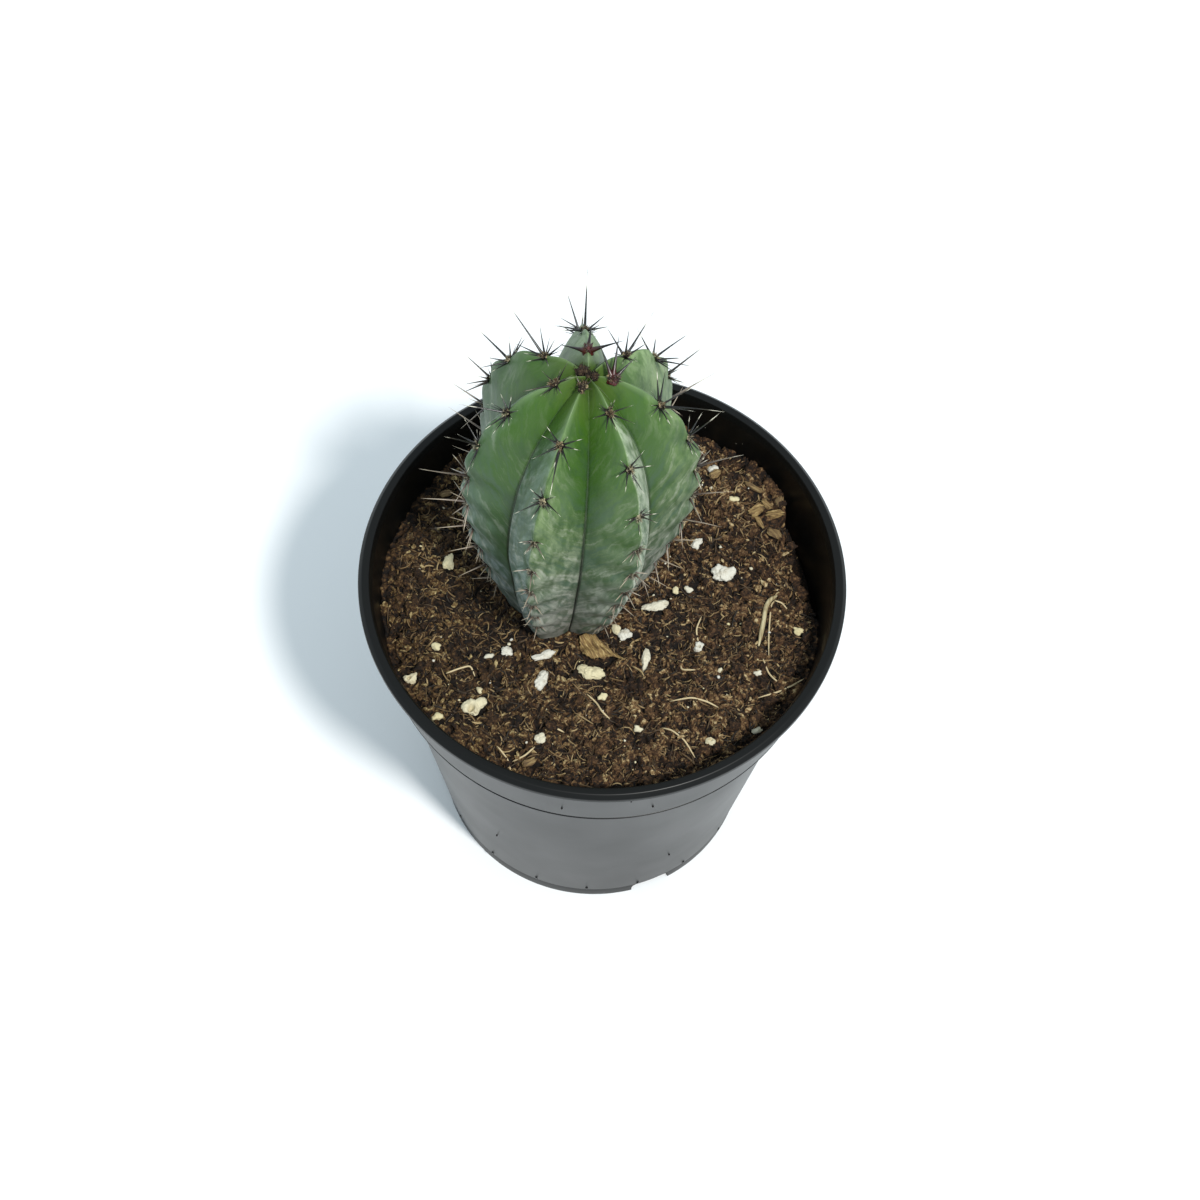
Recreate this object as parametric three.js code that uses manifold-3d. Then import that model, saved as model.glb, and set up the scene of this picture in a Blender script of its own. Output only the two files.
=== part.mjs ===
// A young seven-ribbed column cactus in a black plastic nursery pot with soil, perlite and litter.
// Millimetres, +Z up. The pot's axis is x = y = 0, and the pot stands on z = 0.
// Plan angles are in degrees, 0 along +X and 90 along +Y, with -Y towards the front.
import * as THREE from 'three';
import Module from 'manifold-3d';
import { mergeVertices } from 'three/addons/utils/BufferGeometryUtils.js';

const wasm = await Module();
wasm.setup();

// Pot: a 10.5 cm nursery pot
const POT_HEIGHT = 94.5;
const RIM_RADIUS = 52.5;
const WALL = 1.3;
const LIP_HEIGHT = 2.9;
const LIP_OVERHANG = 1.8;
const COLLAR_BOTTOM = 73.7;
const COLLAR_STEP = 1.8;
const WALL_SLOPE = 0.131;
const FOOT_HEIGHT = 4.1;
const FOOT_INSET = 0.25;
const FOOT_TAPER = 0.2;
const FLOOR_THICKNESS = 1.5;
const NOTCH_ANGLES = [55, 175, 295];
const NOTCH_WIDTH = 9.6;
const NOTCH_HEIGHT = 3.2;
const DRAIN_COUNT = 6;
const DRAIN_RADIUS = 4;
const DRAIN_CIRCLE = 24;
const ROUND_SIDES = 52;

// Soil: its mean level, the clearance round it, and the swells and dips of its top
const SOIL_LEVEL = 84;
const CLEARANCE = 0.3;
const CRUMB_GRID = 3.4;
const CRUMB_RELIEF = 1.2;
const SWELLS = [
  { x: -32, y: -36, rise: 4.5, spread: 10 },
  { x: 46, y: 6, rise: -6, spread: 11 },
  { x: -46, y: -13, rise: -4, spread: 7 },
  { x: -27, y: -4, rise: -2.5, spread: 7 },
  { x: 34, y: 30, rise: 2.5, spread: 9 },
  { x: 22, y: -22, rise: 1.5, spread: 8 },
];
const FIBRE_COUNT = 22;
const FIBRE_RADIUS = 0.6;
const FIBRE_RISE = 0.5;
const FIBRE_SINK = 1.6;

// Cactus: where its axis meets the soil, how far the top leans, and its ribs from the right round
const STEM_FOOT = new THREE.Vector3(-8, 2.9, SOIL_LEVEL);
const STEM_LEAN = new THREE.Vector2(3.2, 1.6);
const STEM_TALL = 79;
const RIB_ANGLES = [353, 44, 94, 146, 196, 251, 302];
const RIB_REACH = [0.99, 0.99, 1, 1, 0.97, 1.04, 1];

// Radius and height over the soil of a rib's crest and of the groove beside it, from the apex down
const CREST_PROFILE = [
  [0, 78.6], [4, 79.4], [8.6, 78], [15.7, 73.2], [20.6, 66.6], [23.7, 59.5], [24.9, 50], [24.7, 40],
  [23.4, 31], [21.2, 22], [18.8, 12.5], [16.5, 6], [14.2, 0], [12.4, -6], [9.5, -12], [5, -17], [0, -18.6],
];
const GROOVE_PROFILE = [
  [0, 77.6], [2.4, 77.2], [6, 74.8], [9.5, 70.5], [13, 64.5], [15.6, 57], [17, 49], [17.8, 40],
  [17.6, 31], [16.2, 22], [14.9, 12.5], [13.4, 6], [11.8, 0], [10.4, -6], [8.2, -12], [4.5, -17], [0, -18.6],
];
const RIB_FACE_STEPS = [0, 0.1, 0.4, 0.75];
const RIB_FACE_BULGE = 0.7;
const RIB_FACE_FULL = 8;
const SCALLOP = 1.1;
const SCALLOP_SKEW = 0.8;
const SCALLOP_TAIL = 6;
const SCALLOP_FADE = 12;
const RINGS_ABOVE_SOIL = 27;
const RINGS_BELOW_SOIL = 4;

// Areoles: the crest length from the apex to each rib's first one, and the gaps that follow
const FIRST_AREOLE = [5.5, 11.8, 7.2, 12.4, 7.8, 3.4, 9.9];
const AREOLE_GAP = 12.6;
const AREOLE_GAP_SHRINK = 0.062;
const LAST_AREOLE = 89;

// Spines: length along the apex, middle and foot of the stem, and how they spread
const SPINE_RADIUS = 0.36;
const SIDE_SPINES = 4;
const SPINE_RING = 0.3;
const SIDE_SPINE_LENGTH = [5, 6.5, 4.5];
const CENTRAL_SPINE_LENGTH = [9, 12.5, 6.5];
const SIDE_SPINE_TILT = 62;
const CENTRAL_SPINE_TILT = 24;
const SPINE_ROOT = 1;
const SPINE_SOIL_CLEARANCE = 3.5;

// Loose grains on the soil: place, length, width and turn, from the front round
const PERLITE = [
  { x: -25.5, y: -29.5, length: 5.1, width: 3.8, turn: 60 },
  { x: -11.8, y: -21.6, length: 4.3, width: 3.4, turn: 95 },
  { x: -1.5, y: -18.8, length: 5.8, width: 4.1, turn: 15 },
  { x: 11.8, y: -2.2, length: 5.2, width: 3.2, turn: 20 },
  { x: 26.6, y: 7.3, length: 5.5, width: 4.8, turn: 40 },
  { x: 10.2, y: -15.2, length: 5.4, width: 2.2, turn: 85 },
  { x: -11.6, y: -15.6, length: 5, width: 2.4, turn: 20 },
  { x: -20, y: -15.4, length: 2.8, width: 2.6, turn: 0 },
  { x: -40, y: -22.6, length: 2.8, width: 2.5, turn: 50 },
  { x: -11.2, y: -34.8, length: 2.8, width: 2.4, turn: 70 },
  { x: -34, y: 6, length: 4.4, width: 2.3, turn: 85 },
  { x: 5.6, y: -9.6, length: 2.8, width: 2.5, turn: 40 },
  { x: 21.6, y: -11.4, length: 2.4, width: 2.2, turn: 30 },
  { x: 20.4, y: 14.4, length: 2.4, width: 2.1, turn: 60 },
  { x: 24.4, y: -33.6, length: 2.6, width: 2.1, turn: 15 },
  { x: 23.8, y: 33, length: 2.8, width: 2.5, turn: 35 },
  { x: -28, y: 28, length: 3.6, width: 2.6, turn: 110 },
  { x: -6, y: 36, length: 4.2, width: 3, turn: 20 },
];
const LITTER = [
  { name: 'bark_flake', x: -0.6, y: -14.4, length: 6.2, width: 2.6, turn: -20, tone: '#b9793f' },
  { name: 'bark_chip_01', x: 33.4, y: 23, length: 4.2, width: 2.6, turn: 20, tone: '#9a7448' },
  { name: 'bark_chip_02', x: 37.6, y: 18.6, length: 3.8, width: 2.4, turn: -40, tone: '#8d6b44' },
];
const GRAIN_THICKNESS = 0.8;
const LITTER_THICKNESS = 0.45;
const STRAW_PATH = [[38.2, 2.4], [36.4, -1], [34.5, -9.2]];
const STRAW_RADIUS = 0.55;

// Materials
const potPlastic = new THREE.MeshStandardMaterial({ color: '#17191b', roughness: 0.42, metalness: 0 });
const soilMix = new THREE.MeshStandardMaterial({ color: '#3f2c1f', roughness: 0.95, metalness: 0 });
const cactusSkin = new THREE.MeshStandardMaterial({ color: '#5f8155', roughness: 0.6, metalness: 0 });
const perliteWhite = new THREE.MeshStandardMaterial({ color: '#e4dfcf', roughness: 0.9, metalness: 0 });
const strawTan = new THREE.MeshStandardMaterial({ color: '#c2a671', roughness: 0.8, metalness: 0 });

const degrees = THREE.MathUtils.degToRad;
const lerp = THREE.MathUtils.lerp;

// A repeatable stream of numbers from 0 to 1
function seededStream(seed) {
  let state = seed;
  return () => {
    state = (state + 0x6d2b79f5) | 0;
    let mixed = Math.imul(state ^ (state >>> 15), 1 | state);
    mixed = (mixed + Math.imul(mixed ^ (mixed >>> 7), 61 | mixed)) ^ mixed;
    return ((mixed ^ (mixed >>> 14)) >>> 0) / 4294967296;
  };
}

// A closed mesh as a solid that can be joined and cut
function solidFrom(geometry) {
  const bare = geometry.clone();
  bare.deleteAttribute('normal');
  bare.deleteAttribute('uv');
  const merged = mergeVertices(bare, 1e-4);
  return new wasm.Manifold(new wasm.Mesh({
    numProp: 3,
    vertProperties: Float32Array.from(merged.attributes.position.array),
    triVerts: Uint32Array.from(merged.index.array),
  }));
}

function geometryFrom(solid) {
  const result = solid.getMesh();
  const geometry = new THREE.BufferGeometry();
  geometry.setAttribute('position', new THREE.BufferAttribute(result.vertProperties, 3));
  geometry.setIndex(new THREE.BufferAttribute(result.triVerts, 1));
  geometry.computeVertexNormals();
  return geometry;
}

function piece(name, solid, material) {
  const mesh = new THREE.Mesh(geometryFrom(solid), material);
  mesh.name = name;
  return mesh;
}

// A solid of revolution about Z from [radius, height] points that start and end on the axis or close
function turned(points) {
  const outline = points.map(([radius, height]) => new THREE.Vector2(radius, height));
  return solidFrom(new THREE.LatheGeometry(outline, ROUND_SIDES).rotateX(Math.PI / 2));
}

// Levels of the floor, the step inside the collar and the lip
const FLOOR_BOTTOM = 3.6;
const FLOOR_TOP = FLOOR_BOTTOM + FLOOR_THICKNESS;
const INNER_STEP = COLLAR_BOTTOM + WALL;
const LIP_BOTTOM = POT_HEIGHT - LIP_HEIGHT;

// The outer radius of the collar and of the tapered wall at a height
const collarRadiusAt = (z) => RIM_RADIUS - LIP_OVERHANG - WALL_SLOPE * (LIP_BOTTOM - z);
const wallRadiusAt = (z) => collarRadiusAt(z) - COLLAR_STEP;

// One outline from the floor out to the foot, up over the rolled lip and down inside
function potShell() {
  const footRadius = wallRadiusAt(FOOT_HEIGHT) - FOOT_INSET;
  return turned([
    [0, FLOOR_BOTTOM],
    [footRadius - WALL, FLOOR_BOTTOM],
    [footRadius - FOOT_TAPER - WALL, 0],
    [footRadius - FOOT_TAPER, 0],
    [footRadius, FOOT_HEIGHT],
    [wallRadiusAt(FOOT_HEIGHT), FOOT_HEIGHT],
    [wallRadiusAt(COLLAR_BOTTOM), COLLAR_BOTTOM],
    [collarRadiusAt(COLLAR_BOTTOM), COLLAR_BOTTOM],
    [collarRadiusAt(LIP_BOTTOM), LIP_BOTTOM],
    [RIM_RADIUS - 0.4, LIP_BOTTOM + 0.2],
    [RIM_RADIUS, LIP_BOTTOM + 0.9],
    [RIM_RADIUS - 0.1, POT_HEIGHT - 0.8],
    [RIM_RADIUS - 0.9, POT_HEIGHT],
    [RIM_RADIUS - 2.4, POT_HEIGHT - 0.1],
    [collarRadiusAt(LIP_BOTTOM) - WALL, LIP_BOTTOM + 1.2],
    [collarRadiusAt(INNER_STEP) - WALL, INNER_STEP],
    [wallRadiusAt(INNER_STEP) - WALL, INNER_STEP],
    [wallRadiusAt(FLOOR_TOP) - WALL, FLOOR_TOP],
    [0, FLOOR_TOP],
  ]);
}

// A drainage notch is a slot with a round top, cut through the foot ring
function footNotch(angle) {
  const corner = NOTCH_HEIGHT * 0.6;
  const half = NOTCH_WIDTH / 2;
  const outline = new THREE.Shape();
  outline.moveTo(-half, -2);
  outline.lineTo(half, -2);
  outline.lineTo(half, NOTCH_HEIGHT - corner);
  outline.quadraticCurveTo(half, NOTCH_HEIGHT, half - corner, NOTCH_HEIGHT);
  outline.lineTo(corner - half, NOTCH_HEIGHT);
  outline.quadraticCurveTo(-half, NOTCH_HEIGHT, -half, NOTCH_HEIGHT - corner);
  const slot = new THREE.ExtrudeGeometry(outline, { depth: 10, bevelEnabled: false, curveSegments: 3 });
  slot.rotateX(Math.PI / 2);
  slot.rotateZ(Math.PI / 2);
  slot.translate(wallRadiusAt(0) - 7, 0, 0);
  slot.rotateZ(degrees(angle));
  return solidFrom(slot);
}

function drainHole(index) {
  const drill = new THREE.CylinderGeometry(DRAIN_RADIUS, DRAIN_RADIUS, 10, 16);
  drill.rotateX(Math.PI / 2);
  drill.translate(DRAIN_CIRCLE, 0, FLOOR_TOP);
  drill.rotateZ((index / DRAIN_COUNT) * 2 * Math.PI);
  return solidFrom(drill);
}

function nurseryPot() {
  let pot = potShell();
  for (const angle of NOTCH_ANGLES) {
    pot = pot.subtract(footNotch(angle));
  }
  for (let index = 0; index < DRAIN_COUNT; index += 1) {
    pot = pot.subtract(drainHole(index));
  }
  return pot;
}

// The stem's crest and groove as curves whose parameter runs alike down both
const asCurve = (profile) => new THREE.SplineCurve(profile.map(([r, h]) => new THREE.Vector2(r, h)));
const crestCurve = asCurve(CREST_PROFILE);
const grooveCurve = asCurve(GROOVE_PROFILE);
const CURVE_SAMPLES = 400;
crestCurve.arcLengthDivisions = CURVE_SAMPLES;
const crestLengths = crestCurve.getLengths(CURVE_SAMPLES);
const crestLengthAt = (t) => crestLengths[Math.round(t * CURVE_SAMPLES)];
const SOIL_ROW = CREST_PROFILE.findIndex(([, height]) => height === 0);
const SOIL_PARAMETER = SOIL_ROW / (CREST_PROFILE.length - 1);

// The curve parameter at a length down the crest
const crestParameter = (length) => crestCurve.getUtoTmapping(0, length);

function areoleLengths(rib) {
  const lengths = [];
  let length = FIRST_AREOLE[rib];
  while (length < LAST_AREOLE) {
    lengths.push(length);
    length += AREOLE_GAP - AREOLE_GAP_SHRINK * length;
  }
  return lengths;
}

// How far the crest dips at a length down it: most at each areole, with the bulge just below
function scallopAt(rib, length) {
  const foot = LAST_AREOLE + SCALLOP_TAIL;
  const stops = [FIRST_AREOLE[rib] - AREOLE_GAP, ...areoleLengths(rib), foot];
  const below = stops.findIndex((stop) => stop > length);
  if (below < 1) {
    return 0;
  }
  const along = (length - stops[below - 1]) / (stops[below] - stops[below - 1]);
  const fade = Math.min(1, length / SCALLOP_FADE, (foot - length) / SCALLOP_FADE);
  return SCALLOP * fade * (0.5 + 0.5 * Math.cos(2 * Math.PI * along ** SCALLOP_SKEW));
}

// A point of the leaning stem at a radius, plan angle and height over the soil
function stemPoint(radius, angle, height) {
  const lean = height / STEM_TALL;
  return new THREE.Vector3(
    STEM_FOOT.x + STEM_LEAN.x * lean + radius * Math.cos(degrees(angle)),
    STEM_FOOT.y + STEM_LEAN.y * lean + radius * Math.sin(degrees(angle)),
    STEM_FOOT.z + height,
  );
}

// Growth widens the stem, and deepens the part of it under the soil
const sunkBy = (t, growth) => (t > SOIL_PARAMETER ? growth : 0);

function crestPoint(rib, t, growth) {
  const { x: radius, y: height } = crestCurve.getPoint(t);
  const reach = Math.max(0, radius * RIB_REACH[rib] - scallopAt(rib, crestLengthAt(t)));
  return stemPoint(reach + growth, RIB_ANGLES[rib], height - sunkBy(t, growth));
}

function grooveAngle(rib) {
  const next = RIB_ANGLES[(rib + 1) % RIB_ANGLES.length];
  return RIB_ANGLES[rib] + THREE.MathUtils.euclideanModulo(next - RIB_ANGLES[rib], 360) / 2;
}

function groovePoint(rib, t, growth) {
  const { x: radius, y: height } = grooveCurve.getPoint(t);
  return stemPoint(radius + growth, grooveAngle(rib), height - sunkBy(t, growth));
}

// One ring round the stem: each rib's face runs from the crest to the groove on either side
function stemRing(t, growth) {
  const ring = [];
  const ribs = RIB_ANGLES.length;
  for (let rib = 0; rib < ribs; rib += 1) {
    const crest = crestPoint(rib, t, growth);
    const groove = groovePoint(rib, t, growth);
    const nextCrest = crestPoint((rib + 1) % ribs, t, growth);
    const outward = stemPoint(1, grooveAngle(rib), 0).sub(STEM_FOOT);
    const bulge = RIB_FACE_BULGE * Math.min(1, crest.distanceTo(groove) / RIB_FACE_FULL);
    const bulged = (from, to, step) => from.clone().lerp(to, step)
      .addScaledVector(outward, bulge * Math.sin(Math.PI * step));
    ring.push(...RIB_FACE_STEPS.map((step) => bulged(crest, groove, step)));
    ring.push(groove);
    ring.push(...RIB_FACE_STEPS.slice(1).reverse().map((step) => bulged(nextCrest, groove, step)));
  }
  return ring;
}

// The stem as a closed skin of rings, grown outwards by a clearance where it is used as a cutter
function stemSolid(growth) {
  const spans = [];
  for (let index = 1; index <= RINGS_ABOVE_SOIL; index += 1) {
    spans.push((index / RINGS_ABOVE_SOIL) * SOIL_PARAMETER);
  }
  for (let index = 1; index < RINGS_BELOW_SOIL; index += 1) {
    spans.push(lerp(SOIL_PARAMETER, 1, index / RINGS_BELOW_SOIL));
  }
  const top = stemPoint(0, 0, CREST_PROFILE[0][1] + growth);
  const bottom = stemPoint(0, 0, CREST_PROFILE.at(-1)[1] - growth);
  const rings = spans.map((t) => stemRing(t, growth));
  const count = rings[0].length;
  const points = [top, ...rings.flat(), bottom];
  const faces = [];
  for (let j = 0; j < count; j += 1) {
    const k = (j + 1) % count;
    faces.push(0, 1 + j, 1 + k);
    for (let row = 1; row < rings.length; row += 1) {
      const upper = 1 + (row - 1) * count;
      const lower = upper + count;
      faces.push(upper + j, lower + j, lower + k, upper + j, lower + k, upper + k);
    }
    const last = 1 + (rings.length - 1) * count;
    faces.push(last + j, points.length - 1, last + k);
  }
  const geometry = new THREE.BufferGeometry().setFromPoints(points);
  geometry.setIndex(faces);
  return solidFrom(geometry);
}

// An areole's seat on the crest, with its outward, upward and sideways directions
function areoleFrame(rib, length) {
  const t = crestParameter(length);
  const step = 0.012;
  const origin = crestPoint(rib, t, 0);
  const tangent = crestCurve.getPoint(t - step).sub(crestCurve.getPoint(t + step)).normalize();
  const angle = degrees(RIB_ANGLES[rib]);
  const radial = new THREE.Vector3(Math.cos(angle), Math.sin(angle), 0);
  const up = radial.clone().multiplyScalar(tangent.x);
  up.z = tangent.y;
  const side = new THREE.Vector3(-Math.sin(angle), Math.cos(angle), 0);
  const out = side.clone().cross(up).normalize();
  return { origin, out, up, side };
}

// A three-sided spine from its root to its tip
function spine(root, tip, radius) {
  const length = root.distanceTo(tip);
  const needle = new THREE.ConeGeometry(radius, length, 3);
  needle.translate(0, length / 2, 0);
  const turn = new THREE.Quaternion().setFromUnitVectors(
    new THREE.Vector3(0, 1, 0),
    tip.clone().sub(root).normalize(),
  );
  needle.applyQuaternion(turn);
  needle.translate(root.x, root.y, root.z);
  return solidFrom(needle);
}

// A value that runs through three stops: at the apex, the middle and the foot
function downStem(stops, share) {
  return share < 0.5 ? lerp(stops[0], stops[1], share * 2) : lerp(stops[1], stops[2], share * 2 - 1);
}

function areoleSpines(frame, share, random) {
  const solids = [];
  const grow = (tilt, turn, length, spread) => {
    const across = frame.up.clone().multiplyScalar(Math.cos(turn))
      .addScaledVector(frame.side, Math.sin(turn));
    const root = frame.origin.clone().addScaledVector(frame.out, -SPINE_ROOT).addScaledVector(across, spread);
    const way = frame.out.clone().multiplyScalar(Math.cos(degrees(tilt)))
      .addScaledVector(across, Math.sin(degrees(tilt)));
    const tip = root.clone().addScaledVector(way, length + SPINE_ROOT);
    if (tip.z > SOIL_LEVEL + SPINE_SOIL_CLEARANCE) {
      solids.push(spine(root, tip, SPINE_RADIUS));
    }
  };
  const start = random() * 2 * Math.PI;
  for (let index = 0; index < SIDE_SPINES; index += 1) {
    const turn = start + ((index + random() * 0.4) / SIDE_SPINES) * 2 * Math.PI;
    const length = downStem(SIDE_SPINE_LENGTH, share) * (0.75 + random() * 0.5);
    grow(SIDE_SPINE_TILT - 12 + random() * 20, turn, length, SPINE_RING);
  }
  const lean = (random() - 0.5) * 1.6;
  grow(CENTRAL_SPINE_TILT, lean, downStem(CENTRAL_SPINE_LENGTH, share) * (0.8 + random() * 0.3), 0);
  return solids;
}

function cactus() {
  const random = seededStream(11);
  let plant = stemSolid(0);
  RIB_ANGLES.forEach((angle, rib) => {
    for (const length of areoleLengths(rib)) {
      const frame = areoleFrame(rib, length);
      for (const needle of areoleSpines(frame, length / LAST_AREOLE, random)) {
        plant = plant.add(needle);
      }
    }
  });
  return plant;
}

// The soil's height without its crumbs
function soilHeight(x, y) {
  let height = SOIL_LEVEL + 0.8 * Math.sin(x / 7 + 1) * Math.cos(y / 8);
  for (const swell of SWELLS) {
    const away = ((x - swell.x) ** 2 + (y - swell.y) ** 2) / swell.spread ** 2;
    height += swell.rise * Math.exp(-away);
  }
  return height;
}

// A square slab under a net of jittered crumbs
function crumblySlab(random) {
  const cells = Math.ceil((2 * RIM_RADIUS) / CRUMB_GRID);
  const half = (cells * CRUMB_GRID) / 2;
  const side = cells + 1;
  const points = [];
  for (let row = 0; row < side; row += 1) {
    for (let column = 0; column < side; column += 1) {
      const onEdge = row === 0 || column === 0 || row === cells || column === cells;
      const jitter = onEdge ? 0 : CRUMB_GRID * 0.5;
      const x = column * CRUMB_GRID - half + (random() - 0.5) * jitter;
      const y = row * CRUMB_GRID - half + (random() - 0.5) * jitter;
      const fromStem = Math.hypot(x - STEM_FOOT.x, y - STEM_FOOT.y) - CREST_PROFILE[SOIL_ROW][0];
      const calm = THREE.MathUtils.clamp(fromStem / 5, 0.3, 1);
      points.push(new THREE.Vector3(x, y, soilHeight(x, y) + (random() * 2 - 1) * CRUMB_RELIEF * calm));
    }
  }
  const corners = [[-half, -half], [half, -half], [half, half], [-half, half]];
  const bottom = points.length;
  corners.forEach(([x, y]) => points.push(new THREE.Vector3(x, y, 0)));
  const faces = [];
  for (let row = 0; row < cells; row += 1) {
    for (let column = 0; column < cells; column += 1) {
      const a = row * side + column;
      faces.push(a, a + 1, a + side + 1, a, a + side + 1, a + side);
    }
  }
  // Each wall is a fan from one bottom corner to the net's edge, closed by the other corner
  const edges = [
    (step) => step,
    (step) => step * side + cells,
    (step) => cells * side + cells - step,
    (step) => (cells - step) * side,
  ];
  edges.forEach((edge, index) => {
    const near = bottom + index;
    const far = bottom + ((index + 1) % 4);
    for (let step = 0; step < cells; step += 1) {
      faces.push(near, edge(step + 1), edge(step));
    }
    faces.push(near, far, edge(cells));
  });
  faces.push(bottom, bottom + 2, bottom + 1, bottom, bottom + 3, bottom + 2);
  const geometry = new THREE.BufferGeometry().setFromPoints(points);
  geometry.setIndex(faces);
  return solidFrom(geometry);
}

// The room inside the pot, less the clearance
function potRoom() {
  return turned([
    [0, FLOOR_TOP + CLEARANCE],
    [wallRadiusAt(FLOOR_TOP) - WALL - CLEARANCE, FLOOR_TOP + CLEARANCE],
    [wallRadiusAt(INNER_STEP + CLEARANCE) - WALL - CLEARANCE, INNER_STEP + CLEARANCE],
    [collarRadiusAt(INNER_STEP + CLEARANCE) - WALL - CLEARANCE, INNER_STEP + CLEARANCE],
    [collarRadiusAt(LIP_BOTTOM) - WALL - CLEARANCE, POT_HEIGHT],
    [0, POT_HEIGHT],
  ]);
}

// A fibre lies across the crumbs, thickest at its middle, with both ends under them
function soilFibre(random) {
  const angle = random() * 2 * Math.PI;
  const reach = lerp(19, 42, Math.sqrt(random()));
  const x = reach * Math.cos(angle);
  const y = reach * Math.sin(angle);
  const turn = random() * Math.PI;
  const half = 2.5 + random() * 4;
  const end = (way) => {
    const ex = x + way * half * Math.cos(turn);
    const ey = y + way * half * Math.sin(turn);
    return new THREE.Vector3(ex, ey, soilHeight(ex, ey) - FIBRE_SINK);
  };
  const middle = new THREE.Vector3(x, y, soilHeight(x, y) + FIBRE_RISE);
  return spine(middle, end(1), FIBRE_RADIUS).add(spine(middle, end(-1), FIBRE_RADIUS));
}

// A rough pebble of twenty faces, or the slightly larger hollow that it lies in
function grainSolid(grain, thickness, clearance, seed) {
  const random = seededStream(seed);
  const ball = new THREE.IcosahedronGeometry(1).deleteAttribute('normal').deleteAttribute('uv');
  const pebble = mergeVertices(ball);
  const place = pebble.attributes.position;
  for (let index = 0; index < place.count; index += 1) {
    const size = 0.86 + random() * 0.24;
    place.setXYZ(index, place.getX(index) * size, place.getY(index) * size, place.getZ(index) * size);
  }
  const tall = Math.max(grain.width * thickness, 1);
  pebble.scale(grain.length / 2 + clearance, grain.width / 2 + clearance, tall / 2 + clearance);
  pebble.rotateZ(degrees(grain.turn));
  pebble.translate(grain.x, grain.y, soilHeight(grain.x, grain.y) + tall * 0.25);
  return solidFrom(pebble);
}

// A straw bent once, lying along the soil
function strawSolid(radius, overrun) {
  const points = STRAW_PATH.map(([x, y]) => new THREE.Vector3(x, y, soilHeight(x, y) + 0.7));
  const first = points[0].clone().sub(points[1]).setLength(overrun);
  const last = points.at(-1).clone().sub(points.at(-2)).setLength(overrun);
  points[0].add(first);
  points.at(-1).add(last);
  const section = new THREE.Shape();
  for (let index = 0; index < 6; index += 1) {
    const angle = (index / 6) * 2 * Math.PI;
    const go = index === 0 ? 'moveTo' : 'lineTo';
    section[go](radius * Math.cos(angle), radius * Math.sin(angle));
  }
  const path = new THREE.CatmullRomCurve3(points);
  return solidFrom(new THREE.ExtrudeGeometry(section, { steps: 8, extrudePath: path, bevelEnabled: false }));
}

const POCKET = CLEARANCE + 0.18;
const grainKinds = [
  ...PERLITE.map((grain, index) => ({
    ...grain,
    name: `perlite_${String(index + 1).padStart(2, '0')}`,
    thickness: GRAIN_THICKNESS,
    material: perliteWhite,
  })),
  ...LITTER.map((chip) => ({
    ...chip,
    thickness: LITTER_THICKNESS,
    material: new THREE.MeshStandardMaterial({ color: chip.tone, roughness: 0.9, metalness: 0 }),
  })),
];

function pottingSoil() {
  const random = seededStream(7);
  let soil = crumblySlab(random);
  for (let index = 0; index < FIBRE_COUNT; index += 1) {
    soil = soil.add(soilFibre(random));
  }
  soil = soil.intersect(potRoom());
  soil = soil.subtract(stemSolid(POCKET));
  grainKinds.forEach((grain, index) => {
    soil = soil.subtract(grainSolid(grain, grain.thickness, POCKET, index + 1));
  });
  return soil.subtract(strawSolid(STRAW_RADIUS + POCKET, POCKET));
}

const pottedCactus = new THREE.Group();
pottedCactus.add(piece('nursery_pot', nurseryPot(), potPlastic));
pottedCactus.add(piece('potting_soil', pottingSoil(), soilMix));
pottedCactus.add(piece('cactus', cactus(), cactusSkin));
grainKinds.forEach((grain, index) => {
  const solid = grainSolid(grain, grain.thickness, 0, index + 1);
  pottedCactus.add(piece(grain.name, solid, grain.material));
});
pottedCactus.add(piece('straw', strawSolid(STRAW_RADIUS, 0), strawTan));

export default pottedCactus;
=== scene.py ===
# A young seven-ribbed column cactus in a black nursery pot, on a plain white floor.
# Sizes are in millimetres and plan angles in degrees, 0 along +X and 90 along +Y, as in the CAD.
import math
import random

import bmesh
import bpy
import numpy as np
from mathutils import Matrix, Vector, noise
from mathutils.bvhtree import BVHTree


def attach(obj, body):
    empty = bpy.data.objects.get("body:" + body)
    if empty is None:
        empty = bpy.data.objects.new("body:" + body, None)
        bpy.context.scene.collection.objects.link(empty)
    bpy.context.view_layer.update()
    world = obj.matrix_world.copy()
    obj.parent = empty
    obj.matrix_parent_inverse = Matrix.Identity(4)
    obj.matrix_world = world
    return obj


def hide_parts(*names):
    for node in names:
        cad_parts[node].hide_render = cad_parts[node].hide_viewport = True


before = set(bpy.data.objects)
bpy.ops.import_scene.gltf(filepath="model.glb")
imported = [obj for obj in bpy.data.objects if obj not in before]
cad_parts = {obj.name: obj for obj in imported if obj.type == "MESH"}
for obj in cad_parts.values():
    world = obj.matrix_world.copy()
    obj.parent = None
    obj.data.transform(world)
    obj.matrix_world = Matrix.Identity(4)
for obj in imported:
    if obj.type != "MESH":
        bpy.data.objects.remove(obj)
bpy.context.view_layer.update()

# The camera looks down on the pot from the front, at the photograph's distance and lens.
# It is rolled a little, as a camera held by hand is.
MM = 0.001
LOOKING_DOWN = math.radians(61.62)
HAND_ROLL = math.radians(-3.14)
LENS = 67.35
CAMERA_TARGET = Vector((-0.3, 12.1, 60))
CAMERA_DISTANCE = 518
forward = Vector((0, math.cos(LOOKING_DOWN), -math.sin(LOOKING_DOWN)))
level = Vector((1, 0, 0))
upright = level.cross(forward)
view_x = level * math.cos(HAND_ROLL) - upright * math.sin(HAND_ROLL)
view_y = level * math.sin(HAND_ROLL) + upright * math.cos(HAND_ROLL)
camera = bpy.data.objects.new("camera", bpy.data.cameras.new("camera"))
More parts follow.
